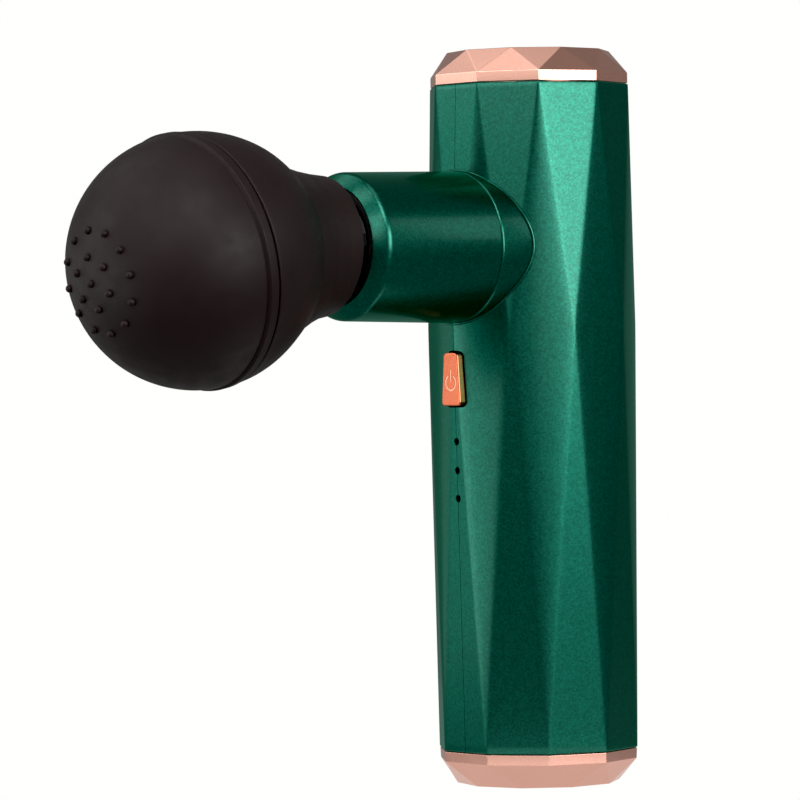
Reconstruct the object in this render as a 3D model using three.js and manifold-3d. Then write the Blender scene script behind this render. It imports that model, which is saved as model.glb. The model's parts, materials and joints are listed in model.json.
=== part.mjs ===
// Massage gun: a ten-sided faceted handle, a round barrel near its top and a push-on ball head.
// Millimetres, +Z up the handle. The origin is the middle of the bottom cap's flat face.
// The barrel points along -Y. A motor on the handle's axis turns a crank, whose roller runs in
// a cross slot of the push rod and so drives the head in and out.

import * as THREE from "three";
import { mergeVertices } from "three/addons/utils/BufferGeometryUtils.js";
import Module from "manifold-3d";

const wasm = await Module();
wasm.setup();

// ---- Driving dimensions ----
const GAP = 0.3; // clearance between neighbouring pieces
const SIDES = 10;
const STEP = (2 * Math.PI) / SIDES;

const HEIGHT = 160.8; // whole handle, flat face to flat face
const CAP_HEIGHT = 7.45;
const CROWN_HEIGHT = 5.2;
const CAP_FLAT_R = 17.9;
const CAP_RING_R = 22.2;
const END_RING_R = 22.35; // handle corners where it meets the caps
const MID_RING_R = 23.0; // handle corners at its widest
const MID_RING_Z = 100.2;
const BORE_R = 19.2;
const SEAM = 0.3;

const BARREL_Z = 117.7;
const COLLAR_R = 17.0;
const SLEEVE_R = 16.5;
const SLEEVE_FRONT_R = 15.9;
const SLEEVE_BORE_R = 12.7;
const COLLAR_FRONT = 22.9; // distances in front of the handle's axis
const CHAMFER_START = 53.9;
const BARREL_FRONT = 56.4;

const STROKE = 3.5; // travel each way from the middle
const ROLLER_R = 4.0;
const SLOT_CLEARANCE = 0.4;
const ROD_R = 6.0;
const SOCKET_R = 10.2;
const PLUG_R = 7.3;

const HEAD_REAR = 60.2;
const BALL_CENTRE = 93.45;
const BALL_R = 26.9;
const CORE_R = 20.1;
const HEAD_DROOP = THREE.MathUtils.degToRad(10.5); // how far the soft head hangs down

const BUTTON_Z = 89.0;
const BUTTON_HEIGHT = 11.6;
const BUTTON_TOP_WIDTH = 3.9;
const BUTTON_BOTTOM_WIDTH = 6.1;
const BUTTON_FRONT = 23.7;
const INDICATOR_Z = [75.4, 69.1, 63.0];
const INDICATOR_HOLE_R = 0.75;

const CELL_R = 9.1;
const CELL_LENGTH = 65;
const CELL_Z = 14.5;
const CELL_X = 9.35;
const CELL_Y = 1.5;
const BOARD_Y = -14.0; // rear face of the main board
const BOARD_THICKNESS = 1.2;

const ROUND = 32; // sides of a large round piece
const MIDDLE_ROUND = 24;
const SMALL_ROUND = 16;
const TINY_ROUND = 8;
const PAST = 1; // how far a cutter runs past what it cuts

// ---- Materials ----
const paint = (color, roughness, metalness) =>
  new THREE.MeshStandardMaterial({ color, roughness, metalness, flatShading: true });

const green = paint(0x1d6b56, 0.38, 0.55);
const roseGold = paint(0xe1a591, 0.35, 0.85);
const copper = paint(0xe17855, 0.25, 0.85);
const headRubber = paint(0x2a2626, 0.85, 0);
const blackRubber = paint(0x151414, 0.8, 0);
const darkLens = paint(0x101414, 0.3, 0);
const steel = paint(0xa8abae, 0.3, 1);
const castMetal = paint(0x8d9194, 0.5, 0.9);
const darkAlloy = paint(0x1c1d1f, 0.4, 0.9);
const bronze = paint(0xa9823f, 0.4, 0.9);
const magnet = paint(0x45484c, 0.5, 0.6);
const enamel = paint(0xb5622d, 0.45, 0.5);
const whitePlastic = paint(0xe8e6df, 0.55, 0);
const blackPlastic = paint(0x1f2022, 0.5, 0);
const boardGreen = paint(0x1f5c33, 0.5, 0);
const cellWrap = paint(0x3a7fb5, 0.4, 0);
const nickel = paint(0xc3bfae, 0.35, 0.9);
const redWire = paint(0xb3261e, 0.5, 0);
const blackWire = paint(0x202020, 0.5, 0);
const foam = paint(0x4b4b4e, 0.9, 0);

// ---- Shapes ----
function solid(geometry) {
  const bare = geometry.clone();
  bare.deleteAttribute("normal");
  bare.deleteAttribute("uv");
  const merged = mergeVertices(bare, 1e-4);
  const corners = merged.index.array;
  const triangles = [];
  for (let i = 0; i < corners.length; i += 3) {
    const [a, b, c] = corners.slice(i, i + 3);
    const hasArea = a !== b && b !== c && c !== a;
    if (hasArea) triangles.push(a, b, c);
  }
  return new wasm.Manifold(
    new wasm.Mesh({
      numProp: 3,
      vertProperties: Float32Array.from(merged.getAttribute("position").array),
      triVerts: Uint32Array.from(triangles),
    }),
  );
}

function part(name, shape, material) {
  const mesh = shape.getMesh();
  const geometry = new THREE.BufferGeometry();
  geometry.setAttribute("position", new THREE.BufferAttribute(mesh.vertProperties, 3));
  geometry.setIndex(new THREE.BufferAttribute(mesh.triVerts, 1));
  const made = new THREE.Mesh(geometry, material);
  made.name = name;
  return made;
}

const join = (shapes) => shapes.reduce((whole, shape) => whole.add(shape));
const cut = (whole, cutters) => cutters.reduce((left, cutter) => left.subtract(cutter), whole);

// A piece turned about the Z axis. Its outline is a list of [radius, z], anticlockwise.
function turned(outline, sides = ROUND) {
  const points = outline.map(([r, z]) => new THREE.Vector2(r, z));
  return new THREE.LatheGeometry(points, sides).rotateX(Math.PI / 2);
}

const disc = (r, z0, z1, sides) =>
  turned([[0, z0], [r, z0], [r, z1], [0, z1]], sides);

const ring = (inner, outer, z0, z1, sides) =>
  turned([[inner, z0], [outer, z0], [outer, z1], [inner, z1], [inner, z0]], sides);

const box = (x0, x1, y0, y1, z0, z1) =>
  new THREE.BoxGeometry(x1 - x0, y1 - y0, z1 - z0).translate(
    (x0 + x1) / 2,
    (y0 + y1) / 2,
    (z0 + z1) / 2,
  );

// Turns a shape drawn along +Z so that it points forwards, along -Y. Its own Y becomes up.
const facingForwards = (geometry) => geometry.rotateX(Math.PI / 2);

// A body of flat triangles between level rings of corners. A ring is {z, r, turn}, and turn
// says how many steps its first corner is round from the front.
function faceted(rings) {
  const corners = [];
  for (const { z, r, turn } of rings) {
    for (let i = 0; i < SIDES; i++) {
      const angle = (i + turn) * STEP;
      corners.push(r * Math.sin(angle), -r * Math.cos(angle), z);
    }
  }
  const faces = [];
  for (let level = 0; level + 1 < rings.length; level++) {
    const low = level * SIDES;
    const high = low + SIDES;
    const lean = rings[level + 1].turn - rings[level].turn;
    for (let i = 0; i < SIDES; i++) {
      const next = (i + 1) % SIDES;
      if (lean < 0) {
        faces.push(low + i, high + next, high + i, low + i, low + next, high + next);
      } else {
        faces.push(low + i, low + next, high + i, low + next, high + next, high + i);
      }
    }
  }
  const top = (rings.length - 1) * SIDES;
  for (let i = 1; i + 1 < SIDES; i++) {
    faces.push(0, i + 1, i, top, top + i, top + i + 1);
  }
  const geometry = new THREE.BufferGeometry();
  geometry.setAttribute("position", new THREE.Float32BufferAttribute(corners, 3));
  geometry.setIndex(faces);
  return geometry;
}

// A four-sided outline, symmetric about x = 0, with rounded corners.
function trapezoid(bottomWidth, topWidth, height, grow = 0) {
  const bottom = bottomWidth / 2 + grow;
  const top = topWidth / 2 + grow;
  const half = height / 2 + grow;
  const corners = [
    new THREE.Vector2(-bottom, -half),
    new THREE.Vector2(bottom, -half),
    new THREE.Vector2(top, half),
    new THREE.Vector2(-top, half),
  ];
  const cornerLength = 0.9;
  const shape = new THREE.Shape();
  corners.forEach((corner, i) => {
    const before = corners[(i + 3) % 4];
    const after = corners[(i + 1) % 4];
    const start = corner.clone().lerp(before, cornerLength / corner.distanceTo(before));
    const end = corner.clone().lerp(after, cornerLength / corner.distanceTo(after));
    if (i === 0) shape.moveTo(start.x, start.y);
    else shape.lineTo(start.x, start.y);
    shape.quadraticCurveTo(corner.x, corner.y, end.x, end.y);
  });
  shape.closePath();
  return shape;
}

function stadium(width, height) {
  const r = height / 2;
  const x = width / 2 - r;
  const shape = new THREE.Shape();
  shape.absarc(x, 0, r, -Math.PI / 2, Math.PI / 2);
  shape.absarc(-x, 0, r, Math.PI / 2, Math.PI * 1.5);
  shape.closePath();
  return shape;
}

const extruded = (shape, z0, z1, curveSegments = 4) =>
  new THREE.ExtrudeGeometry(shape, { depth: z1 - z0, bevelEnabled: false, curveSegments })
    .translate(0, 0, z0);

function lead(route, width, thickness) {
  const curve = new THREE.CatmullRomCurve3(route.map((point) => new THREE.Vector3(...point)));
  const section = new THREE.Shape();
  section.absellipse(0, 0, thickness / 2, width / 2, 0, Math.PI * 2);
  return new THREE.ExtrudeGeometry(section, {
    extrudePath: curve,
    steps: 20,
    curveSegments: 3,
    bevelEnabled: false,
  });
}

function screw(headR, headHeight, shankR, length) {
  const outline = [
    [0, -length],
    [shankR, -length],
    [shankR, 0],
    [headR, 0],
    [headR, headHeight * 0.6],
    [headR * 0.7, headHeight],
    [0, headHeight],
  ];
  const crossCut = join([
    solid(box(-0.9, 0.9, -0.2, 0.2, headHeight * 0.5, headHeight + PAST)),
    solid(box(-0.2, 0.2, -0.9, 0.9, headHeight * 0.5, headHeight + PAST)),
  ]);
  return solid(turned(outline, TINY_ROUND)).subtract(crossCut);
}

const SCREW_HEAD_R = 1.7;
const SCREW_HEAD_HEIGHT = 1.2;
const SCREW_SHANK_R = 0.95;
const SCREW_HOLE_R = 1.25;
const SCREW_CIRCLE_R = 10.3;
const MOTOR_SCREW_ANGLES = [45, 135, 225, 315].map(THREE.MathUtils.degToRad);
const BUSHING_SCREW_ANGLES = [45, 225].map(THREE.MathUtils.degToRad);
const screwPlace = (angle) => [
  SCREW_CIRCLE_R * Math.cos(angle),
  SCREW_CIRCLE_R * Math.sin(angle),
];

// Screws on a circle about the group's Z axis, heads up, seated at z.
function screwCircle(group, name, angles, z, length) {
  angles.forEach((angle, i) => {
    const shape = screw(SCREW_HEAD_R, SCREW_HEAD_HEIGHT, SCREW_SHANK_R, length);
    const made = part(`${name}_${i + 1}`, shape, steel);
    made.position.set(...screwPlace(angle), z);
    group.add(made);
  });
}

const screwHoles = (angles, z0, z1) =>
  angles.map((angle) => {
    const [x, y] = screwPlace(angle);
    return disc(SCREW_HOLE_R, z0, z1, TINY_ROUND).translate(x, y, 0);
  });

// ---- Handle casing ----
const BODY_BOTTOM = CAP_HEIGHT + GAP;
const BODY_TOP = HEIGHT - CAP_HEIGHT - GAP;
const TONGUE_R = 20.1; // the left shell's tongue laps behind the right shell's edge
const TONGUE_REACH = 1.2;
const RIB_INNER_R = 17.4;
const RIBS = [[83.0, 84.6], [102.4, 104.1]];
const BUTTON_GASKET = 0.55; // width of the gasket round the button
const HALF = 40; // half-space cutters reach this far

function handleShells(model) {
  const outer = solid(
    faceted([
      { z: BODY_BOTTOM, r: END_RING_R, turn: 0.5 },
      { z: MID_RING_Z, r: MID_RING_R, turn: 0 },
      { z: BODY_TOP, r: END_RING_R, turn: 0.5 },
    ]),
  );
  const bore = solid(disc(BORE_R, BODY_BOTTOM - PAST, BODY_TOP + PAST));
  const backHalf = solid(box(-HALF, HALF, 3, HALF, 0, HEIGHT));
  const ribs = RIBS.map(([z0, z1]) =>
    solid(ring(RIB_INNER_R, BORE_R + PAST, z0, z1)).intersect(backHalf),
  );
  const forwardCut = (shape, z0, z1, height) =>
    solid(facingForwards(extruded(shape, z0, z1)).translate(0, 0, height));
  const buttonShape = trapezoid(
    BUTTON_BOTTOM_WIDTH, BUTTON_TOP_WIDTH, BUTTON_HEIGHT, BUTTON_GASKET + GAP,
  );
  const openings = [
    solid(facingForwards(disc(COLLAR_R + GAP, 5, 30)).translate(0, 0, BARREL_Z)),
    forwardCut(buttonShape, 15, 30, BUTTON_Z),
    ...INDICATOR_Z.map((z) =>
      solid(facingForwards(disc(INDICATOR_HOLE_R, 15, 30, TINY_ROUND)).translate(0, 0, z)),
    ),
  ];
  const casing = join([outer.subtract(bore), ...ribs]);
  const tongue = solid(ring(BORE_R, TONGUE_R, BODY_BOTTOM, BODY_TOP)).intersect(
    solid(box(-PAST, TONGUE_REACH, -HALF, HALF, 0, HEIGHT)),
  );
  const rebate = solid(ring(RIB_INNER_R - PAST, TONGUE_R + GAP, 0, HEIGHT)).intersect(
    solid(box(-PAST, TONGUE_REACH + GAP, -HALF, HALF, 0, HEIGHT)),
  );
  const leftSide = solid(box(-HALF, -SEAM / 2, -HALF, HALF, 0, HEIGHT));
  const rightSide = solid(box(SEAM / 2, HALF, -HALF, HALF, 0, HEIGHT));
  const left = cut(casing.intersect(leftSide).add(tongue), openings);
  const right = cut(casing.intersect(rightSide), [rebate, ...openings]);
  model.add(part("handle_shell_left", left, green));
  model.add(part("handle_shell_right", right, green));
}

const SPIGOT_R = 18.9;
const SPIGOT_INNER_R = 17.2;
const SPIGOT_HEIGHT = 4.55;
const CAP_FLOOR = 2.2;

// A cap with its flat face down at z = 0. Its spigot goes up inside the casing.
function capShape() {
  const outer = faceted([
    { z: 0, r: CAP_FLAT_R, turn: 0 },
    { z: CROWN_HEIGHT, r: CAP_RING_R, turn: 0.5 },
    { z: CAP_HEIGHT, r: CAP_RING_R, turn: 0.5 },
  ]);
  const spigotTop = CAP_HEIGHT + SPIGOT_HEIGHT;
  const pocket = turned([
    [0, CAP_FLOOR],
    [15.2, CAP_FLOOR],
    [SPIGOT_INNER_R, CROWN_HEIGHT],
    [SPIGOT_INNER_R, spigotTop + PAST],
    [0, spigotTop + PAST],
  ]);
  const spigot = solid(disc(SPIGOT_R, CROWN_HEIGHT, spigotTop));
  return solid(outer).add(spigot).subtract(solid(pocket));
}

const USB_Y = 9.5;
const USB_WIDTH = 8.9;
const USB_HEIGHT = 3.2;
const USB_MOUTH_Z = 0.6;
const USB_BACK_Z = 8.3;

function caps(model) {
  const socketHole = extruded(stadium(USB_WIDTH + GAP, USB_HEIGHT + GAP), -PAST, CAP_FLOOR + PAST);
  const bottom = capShape().subtract(solid(socketHole.translate(0, USB_Y, 0)));
  model.add(part("bottom_cap", bottom, roseGold));
  const top = part("top_cap", capShape(), roseGold);
  top.position.z = HEIGHT;
  top.rotation.x = Math.PI;
  model.add(top);
}

function chargePort(model) {
  const shell = solid(extruded(stadium(USB_WIDTH, USB_HEIGHT), USB_MOUTH_Z, USB_BACK_Z));
  const mouth = solid(
    extruded(stadium(USB_WIDTH - 0.6, USB_HEIGHT - 0.6), USB_MOUTH_Z - PAST, USB_BACK_Z - 1.2),
  );
  const tongue = solid(box(-3.3, 3.3, -0.35, 0.35, USB_MOUTH_Z + 0.9, USB_BACK_Z - 0.5));
  const socket = part("usb_c_socket", shell.subtract(mouth).add(tongue), steel);
  socket.position.y = USB_Y;
  model.add(socket);

  const boardZ = USB_BACK_Z + GAP;
  const plate = solid(disc(16.6, boardZ, boardZ + 1.2));
  const front = solid(box(-HALF, HALF, -HALF, -13, 0, HALF));
  model.add(part("charge_board", plate.subtract(front), boardGreen));
}

// ---- Barrel: these shapes are drawn along +Z, in a group that faces forwards ----
function barrel(forwards) {
  const collar = [
    [14.9, 13.4],
    [COLLAR_R - 0.4, 13.4],
    [COLLAR_R, 13.8],
    [COLLAR_R, 17],
    [COLLAR_R - 0.35, COLLAR_FRONT - 0.4],
    [COLLAR_R - 0.75, COLLAR_FRONT],
    [14.9, COLLAR_FRONT],
    [14.9, 13.4],
  ];
  forwards.add(part("barrel_collar", solid(turned(collar)), green));

  const sleeve = [
    [SLEEVE_BORE_R, 14.2],
    [14.6, 14.2],
    [14.6, COLLAR_FRONT + GAP],
    [SLEEVE_R, COLLAR_FRONT + GAP],
    [SLEEVE_FRONT_R, CHAMFER_START],
    [SLEEVE_BORE_R + 0.4, BARREL_FRONT],
    [SLEEVE_BORE_R, BARREL_FRONT],
    [SLEEVE_BORE_R, 14.2],
  ];
  forwards.add(part("barrel_sleeve", solid(turned(sleeve)), green));

  const seal = [
    [SOCKET_R + 0.5, 53.2],
    [SLEEVE_BORE_R - GAP, 52.4],
    [SLEEVE_BORE_R - GAP, 55.9],
    [SOCKET_R + 1.1, 55.9],
    [SOCKET_R + 0.5, 55.2],
    [SOCKET_R + 0.5, 53.2],
  ];
  forwards.add(part("barrel_front_seal", solid(turned(seal)), blackRubber));
}

// ---- Button and indicators ----
const PLUNGER_FRONT = 17.6;

function powerButton(front) {
  const bevel = 0.5;
  const cap = new THREE.ExtrudeGeometry(
    trapezoid(BUTTON_BOTTOM_WIDTH, BUTTON_TOP_WIDTH, BUTTON_HEIGHT),
    {
      depth: BUTTON_FRONT - bevel - 18.4,
      bevelThickness: bevel,
      bevelSize: bevel,
      bevelOffset: -bevel,
      bevelSegments: 2,
      curveSegments: 3,
    },
  ).translate(0, 0, 18.4);
  const flange = box(-3.7, 3.7, -6.6, 6.6, PLUNGER_FRONT + GAP, 18.6);
  const button = part("power_button", solid(cap).add(solid(flange)), copper);
  button.position.y = BUTTON_Z;
  front.add(button);

  const outline = (grow) =>
    trapezoid(BUTTON_BOTTOM_WIDTH, BUTTON_TOP_WIDTH, BUTTON_HEIGHT, grow);
  const frame = solid(extruded(outline(BUTTON_GASKET), 19.4, 21.6, 3));
  const hole = solid(extruded(outline(0.2), 19, 22, 3));
  const gasket = part("button_gasket", frame.subtract(hole), blackRubber);
  gasket.position.y = BUTTON_Z;
  front.add(gasket);
}

const LED_FRONT = 16.4;

function indicators(front) {
  INDICATOR_Z.forEach((z, i) => {
    const rod = disc(INDICATOR_HOLE_R - 0.2, LED_FRONT + 1.2, 21.7, TINY_ROUND);
    const foot = disc(1.5, LED_FRONT + GAP, LED_FRONT + 1.4, TINY_ROUND);
    const lens = part(`indicator_lens_${i + 1}`, solid(rod).add(solid(foot)), darkLens);
    lens.position.y = z;
    front.add(lens);

    const back = BOARD_THICKNESS - BOARD_Y + 0.15;
    const led = part(
      `indicator_led_${i + 1}`,
      solid(box(-0.8, 0.8, -0.5, 0.5, back, LED_FRONT)),
      whitePlastic,
    );
    led.position.y = z;
    front.add(led);
  });
}

// ---- Electronics and battery ----
const BOARD_BOTTOM = 56;
const BOARD_TOP = 98;
const BOARD_SCREW_Z = [58.4, 80.6];
const CELL_TOP = CELL_Z + CELL_LENGTH;

function mainBoard(model, front) {
  const rear = -BOARD_Y;
  const face = rear + BOARD_THICKNESS;
  const plate = solid(box(-9.5, 9.5, BOARD_BOTTOM, BOARD_TOP, rear, face));
  const holes = BOARD_SCREW_Z.map((z) =>
    solid(disc(SCREW_HOLE_R, rear - PAST, face + PAST, TINY_ROUND).translate(0, z, 0)),
  );
  front.add(part("main_board", cut(plate, holes), boardGreen));

  BOARD_SCREW_Z.forEach((z, i) => {
    const made = part(`board_screw_${i + 1}`, screw(1.7, 0.9, SCREW_SHANK_R, 4.5), steel);
    made.position.set(0, z, face + 0.1);
    front.add(made);
  });

  const switchBody = solid(box(-3, 3, BUTTON_Z - 3, BUTTON_Z + 3, face + 0.15, 16.9));
  const well = solid(disc(1.9, 15.9, 17.5, SMALL_ROUND).translate(0, BUTTON_Z, 0));
  front.add(part("tact_switch_body", switchBody.subtract(well), blackPlastic));
  const plunger = solid(disc(1.6, 16.75, PLUNGER_FRONT, SMALL_ROUND));
  const switchPlunger = part("tact_switch_plunger", plunger, whitePlastic);
  switchPlunger.position.y = BUTTON_Z;
  front.add(switchPlunger);

  const onRear = (name, x0, x1, z0, z1, depth, material) =>
    model.add(part(name, solid(box(x0, x1, BOARD_Y + 0.15, BOARD_Y + depth, z0, z1)), material));
  onRear("controller_chip", 3.6, 8.6, 66, 71, 1.2, blackPlastic);
  onRear("motor_connector", 2, 8.4, 91.5, 95.5, 4.2, whitePlastic);
  onRear("battery_connector", -8.4, -2, 87, 91, 4.2, whitePlastic);
}

const CRADLE_R = 18.6;
const CRADLE_BOTTOM = 12.3;
const CRADLE_TOP = CELL_TOP + 3;
const CRADLE_FRONT = -8.2;

function battery(model) {
  const cellShape = [
    [0, 0],
    [CELL_R - 0.6, 0],
    [CELL_R, 0.6],
    [CELL_R, CELL_LENGTH - 1.6],
    [CELL_R - 0.5, CELL_LENGTH - 1.0],
    [4.2, CELL_LENGTH - 1.0],
    [4.2, CELL_LENGTH],
    [0, CELL_LENGTH],
  ];
  for (const [name, side] of [["left", -1], ["right", 1]]) {
    const cell = part(`battery_cell_${name}`, solid(turned(cellShape, MIDDLE_ROUND)), cellWrap);
    cell.position.set(side * CELL_X, CELL_Y, CELL_Z);
    model.add(cell);
    const tab = solid(box(-3, 3, -8.5, 3.5, CELL_TOP + GAP, CELL_TOP + 0.55));
    const strip = part(`battery_tab_${name}`, tab, nickel);
    strip.position.x = side * CELL_X;
    model.add(strip);
  }
  const link = box(-12.5, 12.5, -2, 5, CELL_Z - 0.55, CELL_Z - GAP);
  model.add(part("battery_link", solid(link), nickel));

  const plateEdge = solid(box(-HALF, HALF, -HALF, CRADLE_FRONT, 0, HEIGHT));
  const plate = (z0, z1) => solid(disc(CRADLE_R, z0, z1)).subtract(plateEdge);
  const ribEnd = BOARD_Y + 0.4;
  const cradle = join([
    plate(CRADLE_BOTTOM, CELL_Z - 0.8),
    plate(CELL_TOP + 0.9, CRADLE_TOP),
    solid(box(-7, 7, CELL_Y + CELL_R + 0.5, 14, CRADLE_BOTTOM, CRADLE_TOP)),
    solid(box(-1.6, 1.6, ribEnd, -6.2, CRADLE_BOTTOM, CRADLE_TOP)),
  ]);
  const pilotHoles = BOARD_SCREW_Z.map((z) => {
    const hole = disc(SCREW_HOLE_R, -BOARD_Y - 6, -BOARD_Y + PAST, TINY_ROUND);
    return solid(facingForwards(hole).translate(0, 0, z));
  });
  model.add(part("battery_cradle", cut(cradle, pilotHoles), blackPlastic));
}

function leads(model) {
  const red = [[-9.4, -9.3, 80.1], [-9.2, -11.2, 81.2], [-7.8, -11.9, 84], [-6.8, -11.9, 86.4]];
  const black = [
    [9.4, -9.3, 80.1], [8.6, -11.2, 81.4], [3.4, -11.6, 83.6], [-2, -11.8, 84.6], [-3.4, -11.9, 86.4],
  ];
  const charge = [
    [6, -11.8, 10.6], [6, -13.6, 12.5], [6.4, -14.6, 18], [6.4, -14.7, 36], [6.4, -14.7, 50],
    [6.4, -14.65, 55.4],
  ];
  const motor = [
    [5.2, -11.9, 95.9], [5.6, -11.9, 98.6], [10, -10.6, 100.4], [15, -4, 101], [15.7, 3, 101.8],
    [15.75, 5.6, 105], [15.75, 5.6, 118], [15.75, 5.6, 129], [14.6, 5.2, 132.6], [11, 3.9, 133.3],
    [8.9, 3.2, 133.4],
  ];
  model.add(part("battery_lead_red", solid(lead(red, 1.2, 1.2)), redWire));
  model.add(part("battery_lead_black", solid(lead(black, 1.2, 1.2)), blackWire));
  model.add(part("charge_lead", solid(lead(charge, 1.2, 1.2)), redWire));
  model.add(part("motor_lead", solid(lead(motor, 1, 1)), blackWire));
}

// ---- Drive ----
const PLATE_R = 18.6;
const DECK_BOTTOM = 125.2; // the motor stands on this deck
const DECK_TOP = 128.2;
const FLOOR_BOTTOM = 104.5;
const FLOOR_TOP = 107.5;
const BOSS_R = 12.4;
const BOSS_FRONT = 22.0;
const BEARING_SEAT_R = 4.3;
const BEARING_R = 4.0;
const SHAFT_R = 2.3;
const YOKE_BOTTOM = 114.9;
const YOKE_TOP = 120.5;

function chassis(model) {
  const alongBarrel = (geometry) => solid(facingForwards(geometry).translate(0, 0, BARREL_Z));
  const walls = [-1, 1].map((side) => {
    const edges = [side * 12.4, side * 14.9].sort((a, b) => a - b);
    return solid(box(...edges, -13.5, 11, FLOOR_BOTTOM, DECK_TOP));
  });
  const frame = join([
    solid(disc(PLATE_R, DECK_BOTTOM, DECK_TOP)),
    solid(disc(PLATE_R, FLOOR_BOTTOM, FLOOR_TOP)),
    ...walls,
    solid(box(-13, 13, -13.5, -11, FLOOR_BOTTOM, DECK_TOP)),
  ]);
  const trim = solid(disc(PLATE_R, FLOOR_BOTTOM - PAST, DECK_TOP + PAST));
  const leadNotch = solid(box(15.0, HALF, 3.6, 8.4, 0, HEIGHT));
  const frontTrim = alongBarrel(ring(BOSS_R, 20, 13.0, 30));
  const boss = alongBarrel(disc(BOSS_R, 12.9, BOSS_FRONT));
  const hollows = [
    alongBarrel(disc(11.8, 8, 13.5)),
    alongBarrel(disc(10.5, 13, 19.8)),
    alongBarrel(disc(ROD_R + 0.6, 15, 30, SMALL_ROUND)),
    ...screwHoles(BUSHING_SCREW_ANGLES, 19.5, 30).map(alongBarrel),
  ];
  const deckHoles = [
    solid(disc(BEARING_SEAT_R, 120, 130, SMALL_ROUND)),
    ...screwHoles(MOTOR_SCREW_ANGLES, 120, 130).map(solid),
  ];
  const shape = cut(
    frame.intersect(trim).subtract(frontTrim).add(boss),
    [leadNotch, ...hollows, ...deckHoles],
  );
  model.add(part("chassis_frame", shape, castMetal));
}

const BUSHING_FRONT = 32.4; // clears the push rod's socket when the rod is fully back

function bushing(forwards) {
  const outline = [
    [ROD_R + 0.15, 22.3],
    [12.2, 22.3],
    [12.2, 24.8],
    [8.2, 24.8],
    [8.2, BUSHING_FRONT],
    [ROD_R + 0.15, BUSHING_FRONT],
    [ROD_R + 0.15, 22.3],
  ];
  const holes = screwHoles(BUSHING_SCREW_ANGLES, 20, 30).map(solid);
  forwards.add(part("rod_bushing", cut(solid(turned(outline, MIDDLE_ROUND)), holes), bronze));
  screwCircle(forwards, "bushing_screw", BUSHING_SCREW_ANGLES, 24.95, 4.6);
}

const MOTOR_BASE_Z = 128.5;
const STATOR_BOTTOM = 136.2;
const STATOR_TOP = 143.2;
const TEETH = 9;
const TOOTH_WIDTH = 2.2;
const BELL_R = 15.2;
const BELL_BOTTOM = 135.2;
const BELL_TOP = 147.8;
const MOTOR_TUBE_TOP = 145.0;

function motor(model) {
  const base = [
    [BEARING_SEAT_R, MOTOR_BASE_Z],
    [BOSS_R, MOTOR_BASE_Z],
    [BOSS_R, 130.3],
    [5.6, 130.3],
    [5.6, MOTOR_TUBE_TOP],
    [BEARING_SEAT_R, MOTOR_TUBE_TOP],
    [BEARING_SEAT_R, MOTOR_BASE_Z],
  ];
  const holes = screwHoles(MOTOR_SCREW_ANGLES, 120, 135).map(solid);
  model.add(part("motor_base", cut(solid(turned(base, MIDDLE_ROUND)), holes), castMetal));
  screwCircle(model, "motor_screw", MOTOR_SCREW_ANGLES, 130.45, 4.6);

  const bearing = (z0, z1) => solid(ring(SHAFT_R + GAP, BEARING_R, z0, z1, SMALL_ROUND));
  model.add(part("lower_motor_bearing", bearing(125.4, 128.1), steel));
  model.add(part("upper_motor_bearing", bearing(MOTOR_TUBE_TOP - 2.9, MOTOR_TUBE_TOP - 0.2), steel));

  const round = (shape, i) => shape.rotateZ((i * 2 * Math.PI) / TEETH);
  const half = TOOTH_WIDTH / 2;
  const core = [solid(ring(5.9, 7.6, STATOR_BOTTOM, STATOR_TOP, MIDDLE_ROUND))];
  const coils = [solid(ring(8.4, 9.6, STATOR_BOTTOM - 2.1, STATOR_BOTTOM - 1.4, MIDDLE_ROUND))];
  const cores = [];
  for (let i = 0; i < TEETH; i++) {
    const tooth = box(7, 11, -half, half, STATOR_BOTTOM, STATOR_TOP);
    const shoe = box(10.9, 11.8, -2.6, 2.6, STATOR_BOTTOM, STATOR_TOP);
    core.push(solid(round(tooth, i)), solid(round(shoe, i)));
    const turns = box(8.1, 10.5, -half - 1, half + 1, STATOR_BOTTOM - 1.6, STATOR_TOP + 1.3);
    coils.push(solid(round(turns, i)));
    const window = box(7, 12, -half - 0.25, half + 0.25, STATOR_BOTTOM - 0.25, STATOR_TOP + 0.25);
    cores.push(solid(round(window, i)));
  }
  model.add(part("motor_stator", join(core), castMetal));
  model.add(part("motor_windings", cut(join(coils), cores), enamel));
}

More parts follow.
